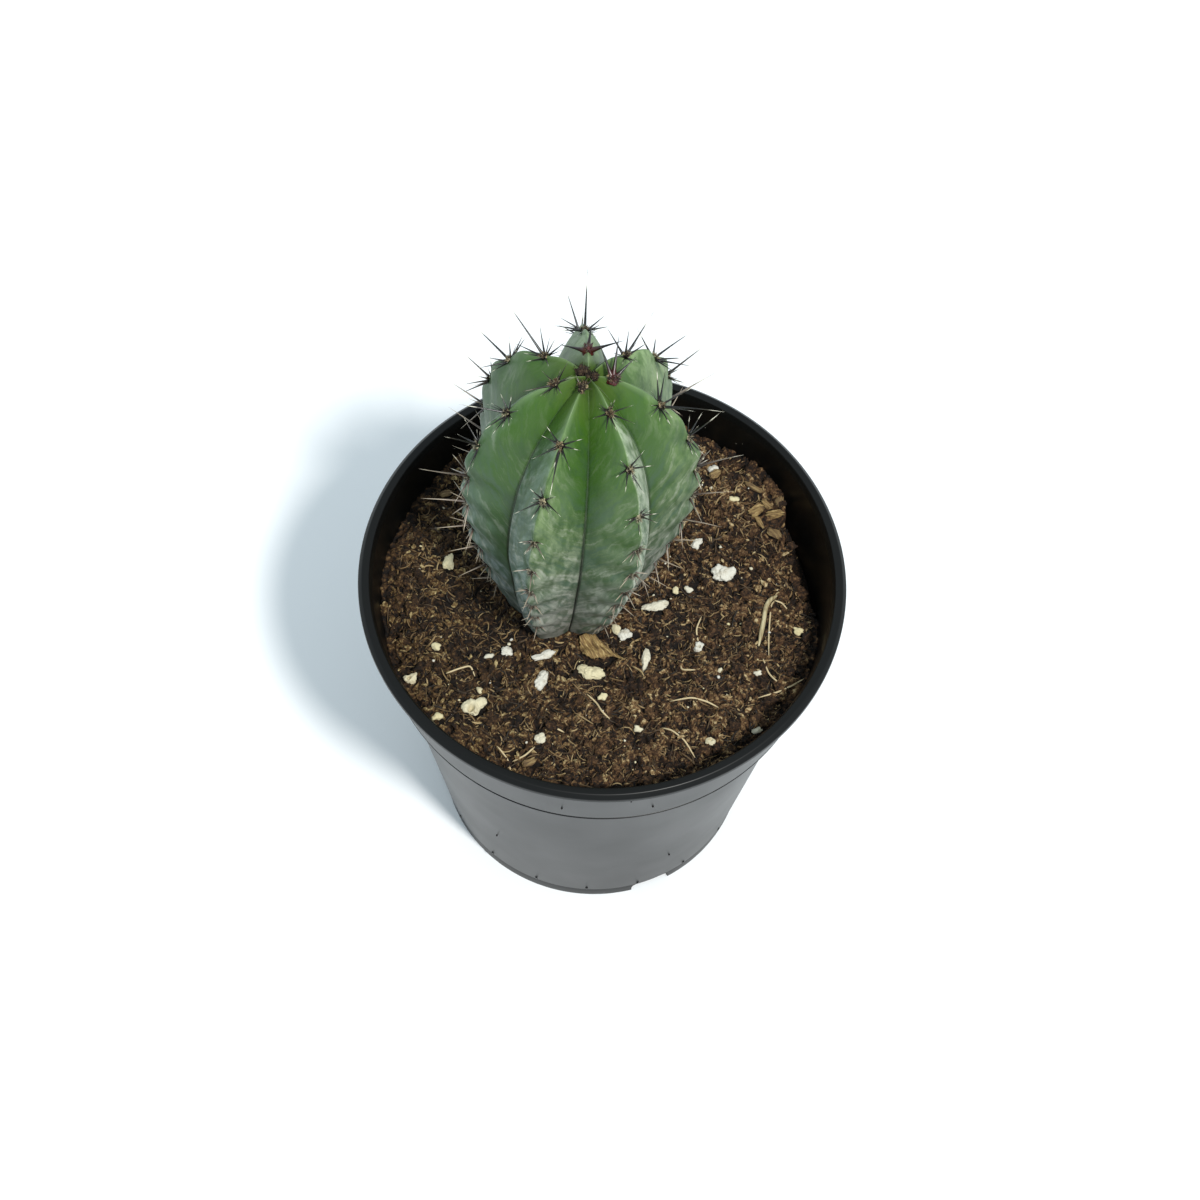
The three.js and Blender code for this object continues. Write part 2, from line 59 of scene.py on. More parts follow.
camera.data.lens = LENS
camera.data.sensor_width = 36
camera.data.clip_start = 0.01
turned = Matrix((view_x, view_y, -forward)).transposed().to_4x4()
camera.matrix_world = Matrix.Translation((CAMERA_TARGET - forward * CAMERA_DISTANCE) * MM) @ turned
bpy.context.scene.collection.objects.link(camera)
bpy.context.scene.camera = camera

# The floor is matt white card that runs on past the view. A lamp with a soft edge stands high on the
# right in front, and pale daylight from all round gives the shadow its faint blue.
FLOOR_REACH = 4000
LAMP_WIDTH = 220
LAMP_POWER = 33
LAMP_DISTANCE = 2000
DAYLIGHT = 0.83


def colour(text):
    """An sRGB hex value as the linear colour that a socket takes."""
    shares = [int(text[i:i + 2], 16) / 255 for i in (1, 3, 5)]
    return [s / 12.92 if s <= 0.04045 else ((s + 0.055) / 1.055) ** 2.4 for s in shares] + [1]


def add_node(tree, kind, inputs=None, stops=None, output=0, **settings):
    """Adds a node with its settings, its input values or links and a ramp's stops; gives its output."""
    made = tree.nodes.new("ShaderNode" + kind)
    for name, value in settings.items():
        setattr(made, name, value)
    for name, value in (inputs or {}).items():
        if isinstance(value, bpy.types.NodeSocket):
            tree.links.new(value, made.inputs[name])
        else:
            made.inputs[name].default_value = value
    if stops:
        ramp = made.color_ramp.elements
        while len(ramp) < len(stops):
            ramp.new(1)
        for element, (place, shade) in zip(ramp, stops):
            element.position = place
            element.color = colour(shade)
    return made.outputs[output]


def new_material(name, **sockets):
    """A material with its shader's own sockets set, and its tree and shader to build on."""
    material = bpy.data.materials.new(name)
    material.use_nodes = True
    shader = material.node_tree.nodes["Principled BSDF"]
    for socket, value in sockets.items():
        shader.inputs[socket.replace("_", " ")].default_value = value
    return material, material.node_tree, shader


def mesh_piece(name, points, faces, material, smooth=True, values=None):
    """A mesh from points in millimetres, with any values that its material reads by name."""
    mesh = bpy.data.meshes.new(name)
    mesh.from_pydata(np.asarray(points, float) * MM, [], faces)
    mesh.polygons.foreach_set("use_smooth", [smooth] * len(mesh.polygons))
    for label, numbers in (values or {}).items():
        mesh.attributes.new(label, "FLOAT", "POINT").data.foreach_set("value", numbers)
    mesh.materials.append(material)
    made = bpy.data.objects.new(name, mesh)
    bpy.context.scene.collection.objects.link(made)
    return made


# Matt card: bright and even, with no gloss
card = new_material("matt_white_card", Base_Color=colour("#f3f4f5"), Roughness=0.9,
                    Specular_IOR_Level=0.2)[0]
corners = [(FLOOR_REACH * x, FLOOR_REACH * y, 0) for x, y in [(-1, -1), (1, -1), (1, 1), (-1, 1)]]
floor = mesh_piece("floor", corners, [(0, 1, 2, 3)], card)

lamp = bpy.data.objects.new("softbox", bpy.data.lights.new("softbox", "AREA"))
lamp.data.shape = "DISK"
lamp.data.size = LAMP_WIDTH * MM
lamp.data.energy = LAMP_POWER
lamp.data.color = (1, 0.985, 0.955)
to_lamp = Vector((0.287, -0.41, 0.866))
lamp.location = to_lamp * (LAMP_DISTANCE * MM)
lamp.rotation_mode = "QUATERNION"
lamp.rotation_quaternion = to_lamp.to_track_quat("Z", "Y")
bpy.context.scene.collection.objects.link(lamp)

world = bpy.data.worlds.new("daylight")
world.use_nodes = True
sky = world.node_tree.nodes["Background"]
sky.inputs["Color"].default_value = (0.80, 0.93, 1, 1)
sky.inputs["Strength"].default_value = DAYLIGHT
bpy.context.scene.world = world
bpy.context.scene.view_settings.view_transform = "Standard"

# The nursery pot is one thin injection moulding of black polypropylene: a rolled lip, a deep collar
# with a step under it, a tapered wall, and a foot ring with three slots.
POT_HEIGHT = 94.5
RIM_RADIUS = 52.5
WALL = 1.3
LIP_BOTTOM = 91.6
LIP_PROUD = 1.8
COLLAR_BOTTOM = 73.7
COLLAR_STEP = 1.8
COLLAR_GROOVE = 0.55
WALL_SLOPE = 0.131
FOOT_HEIGHT = 4.1
FLOOR_BOTTOM = 3.6
FLOOR_TOP = 5.1
INNER_STEP = COLLAR_BOTTOM + WALL
NOTCH_ANGLES = [55, 175, 295]
NOTCH_WIDTH = 9.6
NOTCH_HEIGHT = 3.2
DRAIN_COUNT = 6
DRAIN_RADIUS = 4
DRAIN_CIRCLE = 24
POT_SIDES = 192
SHARP_EDGE = math.radians(38)


def collar_radius(z):
    """The pot's outside radius at a height on the collar, between its step and the lip."""
    return RIM_RADIUS - LIP_PROUD - WALL_SLOPE * (LIP_BOTTOM - z)


def wall_radius(z):
    """The pot's outside radius at a height on the wall under the collar."""
    return collar_radius(z) - COLLAR_STEP


def eased(outline, reach, steps=4):
    """An outline with each inner corner turned into a small curve."""
    corners = [np.array(p, float) for p in outline]
    points = [corners[0]]
    for before, corner, after in zip(corners, corners[1:], corners[2:]):
        back, on = before - corner, after - corner
        start = corner + back * min(0.45, reach / np.linalg.norm(back))
        end = corner + on * min(0.45, reach / np.linalg.norm(on))
        for u in np.linspace(0, 1, steps + 1):
            points.append((1 - u) ** 2 * start + 2 * u * (1 - u) * corner + u * u * end)
    return np.array(points + [corners[-1]])


def lathed(outline, sides):
    """Points and faces of an outline of radius and height turned about Z, closed on the axis."""
    angles = np.arange(sides) * 2 * math.pi / sides
    rings = [[(r * math.cos(a), r * math.sin(a), z) for a in angles] for r, z in outline[1:-1]]
    points = [(0, 0, outline[0][1])] + [p for ring in rings for p in ring] + [(0, 0, outline[-1][1])]
    faces = []
    for j in range(sides):
        k = (j + 1) % sides
        faces.append((0, 1 + k, 1 + j))
        for row in range(len(rings) - 1):
            low, high = 1 + row * sides, 1 + (row + 1) * sides
            faces.append((low + j, low + k, high + k, high + j))
        last = 1 + (len(rings) - 1) * sides
        faces.append((last + j, last + k, len(points) - 1))
    return points, faces


def prism(outline, depth):
    """Points and faces of a flat outline drawn out along X from 0 to depth."""
    count = len(outline)
    points = [(x, y, z) for x in (0, depth) for y, z in outline]
    faces = [tuple(range(count))[::-1], tuple(range(count, 2 * count))]
    faces += [(i, (i + 1) % count, count + (i + 1) % count, count + i) for i in range(count)]
    return points, faces


def cut_from(body, cutter):
    """Takes the cutter away from the body and removes it."""
    cut = body.modifiers.new("cut", "BOOLEAN")
    cut.operation = "DIFFERENCE"
    cut.solver = "EXACT"
    cut.object = cutter
    bpy.context.view_layer.update()
    result = bpy.data.meshes.new_from_object(body.evaluated_get(bpy.context.evaluated_depsgraph_get()))
    body.modifiers.clear()
    body.data = result
    bpy.data.objects.remove(cutter)


# Injection-moulded polypropylene: satin black, with a broad soft reflection of the white floor. Its
# gloss varies over patches of about 30 mm. Its grain, 0.4 mm, is coarser than the mould's own, to show.
polypropylene, tree, shader = new_material("moulded_black_polypropylene", Base_Color=colour("#0a0a09"),
                                           IOR=1.49, Specular_IOR_Level=0.24)
place = add_node(tree, "TexCoord", output="Object")
mottle = add_node(tree, "TexNoise", {"Vector": place, "Scale": 35, "Detail": 3})
satin = add_node(tree, "MapRange",
                 {0: mottle, "From Min": 0.3, "From Max": 0.7, "To Min": 0.32, "To Max": 0.4})
tree.links.new(satin, shader.inputs["Roughness"])
grain = add_node(tree, "TexNoise", {"Vector": place, "Scale": 2600, "Detail": 2})
dimple = add_node(tree, "Bump", {"Height": grain, "Strength": 0.05, "Distance": 0.05 * MM})
tree.links.new(dimple, shader.inputs["Normal"])

foot_radius = wall_radius(FOOT_HEIGHT) - 0.25
pot_outline = eased([
    (0, FLOOR_BOTTOM), (foot_radius - WALL, FLOOR_BOTTOM), (foot_radius - 0.2 - WALL, 0),
    (foot_radius - 0.1, 0), (foot_radius - 0.1, 3.8), (foot_radius - 0.35, 3.95),
    (foot_radius - 0.3, FOOT_HEIGHT), (wall_radius(FOOT_HEIGHT), FOOT_HEIGHT + 0.1),
    (wall_radius(COLLAR_BOTTOM), COLLAR_BOTTOM), (collar_radius(COLLAR_BOTTOM), COLLAR_BOTTOM),
    (collar_radius(74.15), 74.15), (collar_radius(74.3) - COLLAR_GROOVE, 74.3),
    (collar_radius(75), 75),
    (collar_radius(LIP_BOTTOM), LIP_BOTTOM), (RIM_RADIUS - 0.4, LIP_BOTTOM + 0.2),
    (RIM_RADIUS, LIP_BOTTOM + 0.9), (RIM_RADIUS, POT_HEIGHT - 0.9), (RIM_RADIUS - 0.9, POT_HEIGHT),
    (RIM_RADIUS - 2.4, POT_HEIGHT), (collar_radius(LIP_BOTTOM) - WALL, LIP_BOTTOM + 1.2),
    (collar_radius(INNER_STEP) - WALL, INNER_STEP), (wall_radius(INNER_STEP) - WALL, INNER_STEP),
    (wall_radius(FLOOR_TOP) - WALL, FLOOR_TOP), (0, FLOOR_TOP)], 0.2)
pot = mesh_piece("pot", *lathed(pot_outline, POT_SIDES), polypropylene)
half = NOTCH_WIDTH / 2
slot_outline = eased([(0, -2), (half, -2), (half, NOTCH_HEIGHT), (-half, NOTCH_HEIGHT), (-half, -2),
                      (0, -2)], NOTCH_HEIGHT * 0.6, 6)
for angle in NOTCH_ANGLES:
    slot = mesh_piece("foot_slot", *prism(slot_outline[:-1], 10), polypropylene)
    slot.matrix_world = (Matrix.Rotation(math.radians(angle), 4, "Z")
                         @ Matrix.Translation(((wall_radius(0) - 7) * MM, 0, 0)))
    cut_from(pot, slot)
drill_outline = [(0, 0), (DRAIN_RADIUS, 0), (DRAIN_RADIUS, 10), (0, 10)]
for index in range(DRAIN_COUNT):
    drill = mesh_piece("drill", *lathed(drill_outline, 32), polypropylene)
    drill.matrix_world = (Matrix.Rotation(index * 2 * math.pi / DRAIN_COUNT, 4, "Z")
                          @ Matrix.Translation((DRAIN_CIRCLE * MM, 0, 0)) @ Matrix.Rotation(0.1, 4, "Z"))
    cut_from(pot, drill)
pot.data.polygons.foreach_set("use_smooth", [True] * len(pot.data.polygons))
pot.data.set_sharp_from_angle(angle=SHARP_EDGE)
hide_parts("nursery_pot")
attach(pot, "root")

# The nibs are small beads of the same polypropylene, moulded in one with the wall just above the foot
# line, at even turns all round it. Each is a block, narrower at its face than at its root.
NIB_COUNT = 19
NIB_START = 232.5
NIB_HEIGHT = 5.6
NIB_CORNERS = [(-0.35, -0.8, 0), (0.35, -0.8, 0), (0.35, 0.8, 0), (-0.35, 0.8, 0),
               (-0.15, -0.45, 0.35), (0.15, -0.45, 0.35), (0.15, 0.45, 0.35), (-0.15, 0.45, 0.35)]
NIB_FACES = [(3, 2, 1, 0), (4, 5, 6, 7), (0, 1, 5, 4), (1, 2, 6, 5), (2, 3, 7, 6), (3, 0, 4, 7)]
nib_points, nib_faces = [], []
for index in range(NIB_COUNT):
    around = math.radians(NIB_START + index * 360 / NIB_COUNT)
    out = np.array([math.cos(around), math.sin(around), 0])
    beside = np.array([-out[1], out[0], 0])
    seat = out * (wall_radius(NIB_HEIGHT) - 0.1) + np.array([0, 0, NIB_HEIGHT])
    for across, tall, proud in NIB_CORNERS:
        point = seat + beside * across + out * (proud + tall * WALL_SLOPE)
        nib_points.append(point + np.array([0, 0, tall]))
    nib_faces += [tuple(index * 8 + corner for corner in face) for face in NIB_FACES]
nibs = mesh_piece("foot_nibs", nib_points, nib_faces, polypropylene, smooth=False)
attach(nibs, "root")

# The cactus stem is one fleshy column with seven scalloped ribs, grown from the soil and leaning a
# little. Its skin is bright green near the top and in the grooves, and a grey wax bloom covers the
# rest, thicker towards the foot. Profiles are of radius and height over the soil, from top to foot.
SOIL_LEVEL = 84
STEM_FOOT = np.array([-8, 2.9, SOIL_LEVEL])
STEM_LEAN = (3.2, 1.6)
STEM_TALL = 79
RIB_ANGLES = [353, 44, 94, 146, 196, 251, 302]
RIB_COUNT = len(RIB_ANGLES)
RIB_REACH = [0.99, 0.99, 1, 1, 0.97, 1.04, 1]
CREST_PROFILE = [
    (0, 78.6), (4, 79.4), (8.6, 78), (15.7, 73.2), (20.6, 66.6), (23.7, 59.5), (24.9, 50), (24.7, 40),
    (23.4, 31), (21.2, 22), (18.8, 12.5), (16.5, 6), (14.2, 0), (12.4, -6), (9.5, -12), (5, -17),
    (0, -18.6)]
GROOVE_PROFILE = [
    (0, 77.6), (2.4, 77.2), (6, 74.8), (9.5, 70.5), (13, 64.5), (15.6, 57), (17, 49), (17.8, 40),
    (17.6, 31), (16.2, 22), (14.9, 12.5), (13.4, 6), (11.8, 0), (10.4, -6), (8.2, -12), (4.5, -17),
    (0, -18.6)]
FIRST_AREOLE = [5.5, 11.8, 7.2, 12.4, 7.8, 3.4, 9.9]
AREOLE_GAP = 12.6
AREOLE_GAP_SHRINK = 0.062
LAST_AREOLE = 89
SCALLOP = 1.1
SCALLOP_SKEW = 0.8
SCALLOP_TAIL = 6
SCALLOP_FADE = 12
CREST_ROUNDING = 0.05
FACE_BULGE = 0.7
FACE_FULL = 8
FACE_RIPPLE = 0.16
GROOVE_CREASE = 0.45
ROWS_ABOVE_SOIL = 230
ROWS_BELOW_SOIL = 16


def profile_at(profile, t):
    """Radius and height of a smooth curve through a profile, its points evenly spaced in t."""
    points = np.array(profile, float)
    last = len(points) - 1
    at = np.clip(np.asarray(t, float) * last, 0, last)
    index = np.minimum(at.astype(int), last - 1)
    w = (at - index)[:, None]
    p0, p1 = points[np.maximum(index - 1, 0)], points[index]
    p2, p3 = points[index + 1], points[np.minimum(index + 2, last)]
    v0, v1 = (p2 - p0) / 2, (p3 - p1) / 2
    square, cube = 3 * (p2 - p1) - 2 * v0 - v1, 2 * (p1 - p2) + v0 + v1
    return p1 + v0 * w + square * w ** 2 + cube * w ** 3


curve_t = np.linspace(0, 1, 401)
crest_curve = profile_at(CREST_PROFILE, curve_t)
crest_lengths = np.concatenate([[0], np.cumsum(np.linalg.norm(np.diff(crest_curve, axis=0), axis=1))])
SOIL_T = CREST_PROFILE.index((14.2, 0)) / (len(CREST_PROFILE) - 1)


def areole_lengths(rib):
    """How far down its crest each areole of a rib stands, closer together towards the foot."""
    lengths = []
    length = FIRST_AREOLE[rib]
    while length < LAST_AREOLE:
        lengths.append(length)
        length += AREOLE_GAP - AREOLE_GAP_SHRINK * length
    return lengths


def scallop(rib, lengths):
    """How far the crest dips at each length: most at an areole, with the bulge just below."""
    foot = LAST_AREOLE + SCALLOP_TAIL
    stops = np.array([FIRST_AREOLE[rib] - AREOLE_GAP, *areole_lengths(rib), foot])
    below = np.clip(np.searchsorted(stops, lengths, side="right"), 1, len(stops) - 1)
    along = np.clip((lengths - stops[below - 1]) / (stops[below] - stops[below - 1]), 0, 1)
    fade = np.clip(np.minimum(lengths, foot - lengths) / SCALLOP_FADE, 0, 1)
    return SCALLOP * fade * (0.5 + 0.5 * np.cos(2 * math.pi * along ** SCALLOP_SKEW))


def stem_points(radius, angle, height):
    """Points of the leaning stem at radii, a plan angle and heights over the soil."""
    lean = height / STEM_TALL
    return np.stack([STEM_FOOT[0] + STEM_LEAN[0] * lean + radius * math.cos(math.radians(angle)),
                     STEM_FOOT[1] + STEM_LEAN[1] * lean + radius * math.sin(math.radians(angle)),
                     STEM_FOOT[2] + height], axis=-1)


def crest_line(rib, t):
    """Points down the crest of a rib, with its scallops."""
    radius, height = profile_at(CREST_PROFILE, t).T
    dip = scallop(rib, np.interp(t, curve_t, crest_lengths))
    return stem_points(np.maximum(0, radius * RIB_REACH[rib] - dip), RIB_ANGLES[rib], height)


def groove_angle(rib):
    """The plan angle halfway from a rib to the next one."""
    return RIB_ANGLES[rib] + ((RIB_ANGLES[(rib + 1) % RIB_COUNT] - RIB_ANGLES[rib]) % 360) / 2


def groove_line(rib, t):
    """Points down the groove after a rib."""
    radius, height = profile_at(GROOVE_PROFILE, t).T
    return stem_points(radius, groove_angle(rib), height)


def rib_face(crest, groove, outward, shares, lengths, seed):
    """The skin from a crest to its groove: rounded over the crest, slightly crowned and rippled."""
    span = groove - crest
    inward = outward * (span @ outward)[:, None]
    sideways = span - inward
    curve = np.sqrt(shares ** 2 + CREST_ROUNDING ** 2) - CREST_ROUNDING
    rounded = curve / (math.sqrt(1 + CREST_ROUNDING ** 2) - CREST_ROUNDING)
    full = np.minimum(1, np.linalg.norm(span, axis=1) / FACE_FULL)
    crown = FACE_BULGE * full[:, None] * np.sin(math.pi * shares)[None]
    skin = crest[:, None] + sideways[:, None] * shares[None, :, None]
    skin = skin + inward[:, None] * rounded[None, :, None]
    ripple = np.array([[noise.noise(Vector((s * 1.5 + seed, (d - 12 * s * s) / 2.8, seed)))
                        + 0.8 * noise.noise(Vector((s * 3 + seed, d / 9, seed + 5))) for s in shares]
                       for d in lengths])
    calm = np.sin(math.pi * np.clip(shares, 0.04, 0.96))[None] * np.clip(lengths / 14, 0, 1)[:, None]
    return skin + outward * (crown + FACE_RIPPLE * ripple * calm)[..., None]


soil_length = np.interp(SOIL_T, curve_t, crest_lengths)
down_above = np.linspace(0, soil_length, ROWS_ABOVE_SOIL + 1)[1:]
t_rows = np.concatenate([np.interp(down_above, crest_lengths, curve_t),
                         np.linspace(SOIL_T, 1, ROWS_BELOW_SOIL + 1)[1:-1]])
down_rows = np.interp(t_rows, curve_t, crest_lengths)
face_shares = np.concatenate([np.linspace(0, 0.16, 6)[:-1], np.linspace(0.16, 0.94, 13), [0.975]])
columns, column_across, column_face = [], [], []
for rib in range(RIB_COUNT):
    groove = groove_line(rib, t_rows)
    facing = math.radians(groove_angle(rib))
    outward = np.array([math.cos(facing), math.sin(facing), 0])
    left, right = [
        rib_face(crest_line(crest % RIB_COUNT, t_rows), groove, outward, face_shares, down_rows, seed)
        for crest, seed in [(rib, rib * 2.7), (rib + 1, rib * 2.7 + 40)]]
    crease = groove - outward * (GROOVE_CREASE * np.clip(down_rows / 40, 0.2, 1))[:, None]
    columns += [left, crease[:, None], right[:, :0:-1]]
    column_across += [*face_shares, 1, *face_shares[:0:-1]]
    column_face += [rib * 2] * (len(face_shares) + 1) + [rib * 2 + 1] * (len(face_shares) - 1)
skin = np.concatenate(columns, axis=1)
rows, around = skin.shape[:2]
top = stem_points(np.array(0.0), 0, np.array(CREST_PROFILE[0][1]))
bottom = stem_points(np.array(0.0), 0, np.array(CREST_PROFILE[-1][1]))
stem_vertices = np.vstack([top[None], skin.reshape(-1, 3), bottom[None]])
grid = 1 + np.arange(rows * around).reshape(rows, around)
after = np.roll(grid, -1, axis=1)
quads = np.stack([grid[:-1], grid[1:], after[1:], after[:-1]], axis=-1).reshape(-1, 4).tolist()
caps = [(0, a, b) for a, b in zip(grid[0].tolist(), after[0].tolist())]
caps += [(a, len(stem_vertices) - 1, b) for a, b in zip(grid[-1].tolist(), after[-1].tolist())]

# Where the wax bloom lies on each half face: how far down from the top its edge stands at the crest, at
# one third, at two thirds and at the groove; then how thick the wax is, and how much cold blue painted
# shade the face takes where it is turned away from the lamp.
BLOOM = [
    (10, 16, 26, 45, 0.75, 0), (8, 11, 15, 22, 1, 0.1), (6, 14, 24, 40, 0.8, 0),
    (2, 5, 9, 16, 1.05, 0.2), (2, 5, 9, 16, 1.15, 0.2), (8, 16, 28, 45, 0.7, 0.2),
    (13, 18, 28, 42, 0.42, 0.6), (8, 14, 22, 36, 0.65, 0.7), (4, 40, 57, 73, 0.56, 0.8),
    (12, 15, 18, 23, 0.82, 0.7), (14, 27, 32, 41, 0.72, 0), (16, 22, 28, 36, 0.26, 0.1),
    (9, 13, 17, 23, 1.25, 0), (12, 20, 33, 52, 0.56, 0)]

# Waxy skin: a soft sheen on the green, dull and pale where the bloom lies, with darker feathery
# streaks that run from each crest down to the groove. Light is painted on it too: a pale highlight
# along the upper crests, painted shade in the crease of each groove, darker in the groove's lower part,
# and a cold blue painted shade on the faces turned away from the lamp.
# Its blotches are about 4 mm wide and its flecks 1.6 mm. Its pores, 0.7 mm, are drawn coarse, to show.
cactus_skin, tree, shader = new_material("waxy_cactus_skin", IOR=1.42)
down, across, face, bloomed, wax, painted_shade_blue = [
    add_node(tree, "Attribute", attribute_name=name, output="Fac")
    for name in ("down", "across", "face", "bloomed", "wax", "painted_shade_blue")]
place = add_node(tree, "TexCoord", output="Object")
tall = add_node(tree, "VectorMath", {0: place, 1: (1, 1, 0.42)}, operation="MULTIPLY")
blotch = add_node(tree, "TexNoise", {"Vector": tall, "Scale": 230, "Detail": 6, "Roughness": 0.62})
flecks = add_node(tree, "TexNoise", {"Vector": tall, "Scale": 620, "Detail": 5})
fine = add_node(tree, "TexNoise", {"Vector": place, "Scale": 1400, "Detail": 3})

# The skin's own green, and the tone that the wax gives it, from top to foot
depth = add_node(tree, "Math", {0: down, 1: 0.01}, operation="MULTIPLY")
green = add_node(tree, "ValToRGB", {"Fac": depth},
                 stops=[(0.02, "#4d6428"), (0.12, "#3a5c18"), (0.4, "#2f4f18"), (0.7, "#31482a"),
                        (0.95, "#3c4a3a")])
bloom_tone = add_node(tree, "ValToRGB", {"Fac": depth},
                      stops=[(0.05, "#7c9a5c"), (0.25, "#718654"), (0.45, "#727f60"),
                             (0.65, "#7d8174"), (0.9, "#96938a")])
# The faces turned away from the lamp take a cold blue into their bloom, as painted shade
shade_blue_share = add_node(tree, "Math", {0: painted_shade_blue, 1: 0.75}, operation="MULTIPLY")
bloom_with_shade_blue = add_node(tree, "MixRGB",
                      {"Fac": shade_blue_share, "Color1": bloom_tone, "Color2": colour("#66787a")})
thick_wax = add_node(tree, "MapRange", {0: wax, "From Min": 0.95, "From Max": 1.25, "To Max": 0.6})
chalky = add_node(tree, "MixRGB",
                  {"Fac": thick_wax, "Color1": bloom_with_shade_blue, "Color2": colour("#a9af9f")})

# The streaks are noise laid out along and across each face, drawn out to about 4 mm, with finer
# ones of about 1 mm over them
swept = add_node(tree, "Math", {0: across, 1: -15.0, 2: down}, operation="MULTIPLY_ADD")
wavy = add_node(tree, "Math", {0: blotch, 1: 6.0, 2: swept}, operation="MULTIPLY_ADD")
unrolled = add_node(tree, "CombineXYZ", {"X": across, "Y": wavy, "Z": face})
broad_flow, fine_flow = [
    add_node(tree, "VectorMath", {0: unrolled, 1: drawn_out}, operation="MULTIPLY")
    for drawn_out in [(1.5, 0.24, 3.7), (2.6, 0.9, 5.3)]]
streak = add_node(tree, "TexNoise", {"Vector": broad_flow, "Scale": 1, "Detail": 5, "Roughness": 0.6})
hatch = add_node(tree, "TexNoise", {"Vector": fine_flow, "Scale": 1, "Detail": 4, "Roughness": 0.6})
streak_strength = add_node(tree, "MapRange",
                           {0: depth, "From Min": 0.12, "From Max": 0.5, "To Min": 0.2, "To Max": 0.8})
mixed_streak = add_node(tree, "Math", {0: hatch, 1: 0.65, 2: streak}, operation="MULTIPLY_ADD")

# How thick the bloom lies: thicker with age, ragged at its edge and broken into flecks
reach = add_node(tree, "Math", {0: streak, 1: 0.7, 2: bloomed}, operation="MULTIPLY_ADD")
reach = add_node(tree, "Math", {0: blotch, 1: 0.7, 2: reach}, operation="MULTIPLY_ADD")
grown = add_node(tree, "MapRange", {0: depth, "From Min": 0.4, "From Max": 0.75, "To Max": 0.45})
thickness = add_node(tree, "Math", {0: grown, 1: wax}, operation="ADD")
laid = add_node(tree, "MapRange", {0: reach, "From Min": 0.5, "From Max": 1.1, "To Max": thickness})
patchy = add_node(tree, "MapRange",
                  {0: flecks, "From Min": 0.38, "From Max": 0.56, "To Min": 0.35, "To Max": 1.08})
bloom = add_node(tree, "Math", {0: laid, 1: patchy}, operation="MULTIPLY", use_clamp=True)

# Where each tone shows over the skin: dark streaks, pale ones where wax lies, darker blotches, a pale
# band along the upper crests that is a painted highlight, and painted shade in the crease of the grooves
dark_streaks = add_node(tree, "MapRange", {0: mixed_streak, "From Min": 0.83, "From Max": 0.66,
                                           "To Max": streak_strength})
pale_here = add_node(tree, "MapRange", {0: mixed_streak, "From Min": 0.86, "From Max": 1.02,
                                        "To Max": streak_strength})
waxed = add_node(tree, "Math", {0: bloom, 1: 0.75, 2: 0.25}, operation="MULTIPLY_ADD")
pale_streaks = add_node(tree, "Math", {0: pale_here, 1: waxed}, operation="MULTIPLY")
mottle = add_node(tree, "MapRange", {0: blotch, "From Min": 0.49, "From Max": 0.34, "To Max": 0.6})
mottle_tone = add_node(tree, "ValToRGB", {"Fac": depth}, stops=[(0.35, "#2b4722"), (0.8, "#465143")])
ragged = add_node(tree, "Math", {0: blotch, 1: 0.16, 2: across}, operation="MULTIPLY_ADD")
# A painted highlight: a pale band along each crest, from the top of the stem down to about 26 mm
crest_highlight_strength = add_node(tree, "MapRange",
                          {0: depth, "From Min": 0.1, "From Max": 0.26, "To Min": 0.34, "To Max": 0})
crest_highlight = add_node(tree, "MapRange",
                  {0: ragged, "From Min": 0.3, "From Max": 0.08, "To Max": crest_highlight_strength})
# Painted shade in the crease of each groove, stronger further down the stem
crease_shade_strength = add_node(tree, "MapRange",
                           {0: depth, "From Min": 0.1, "From Max": 0.6, "To Min": 0.1, "To Max": 0.95})
crease_shade = add_node(tree, "MapRange",
                   {0: across, "From Min": 0.955, "From Max": 0.995, "To Max": crease_shade_strength})
shown = green
for cover, tone in [(bloom, chalky), (dark_streaks, colour("#3c5340")), (pale_streaks, colour("#a0a294")),
                    (mottle, mottle_tone), (crest_highlight, colour("#8aa274")), (crease_shade, colour("#0c1408"))]:
    shown = add_node(tree, "MixRGB", {"Fac": cover, "Color1": shown, "Color2": tone})
tree.links.new(shown, shader.inputs["Base Color"])
sheen = add_node(tree, "MapRange", {0: bloom, "To Min": 0.4, "To Max": 0.7})
tree.links.new(sheen, shader.inputs["Roughness"])
pores = add_node(tree, "Bump", {"Height": fine, "Strength": 0.25, "Distance": 0.12 * MM})
tree.links.new(pores, shader.inputs["Normal"])

across_values = np.concatenate([[0.5], np.tile(column_across, rows), [0.5]])
face_values = np.concatenate([[0], np.tile(column_face, rows), [0]])
down_values = np.concatenate([[0], np.repeat(down_rows, around), [down_rows[-1]]])
edge_values = np.zeros(len(down_values))
for number, laid_on in enumerate(BLOOM):
    here = face_values == number
    edge_values[here] = np.interp(down_values[here], [laid_on[0] - 8, *laid_on[:4], laid_on[3] + 14],
                                  [-1, 0, 0.33, 0.67, 1, 1.5])
bloom_values = np.clip(edge_values - across_values, -1, 1)
wax_values, painted_shade_blue_values = np.array(BLOOM)[face_values.astype(int), 4:].T
stem = mesh_piece("cactus_stem", stem_vertices, caps + quads, cactus_skin,
                  values={"across": across_values, "face": face_values, "down": down_values,
                          "bloomed": bloom_values, "wax": wax_values, "painted_shade_blue": painted_shade_blue_values})
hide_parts("cactus")
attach(stem, "root")

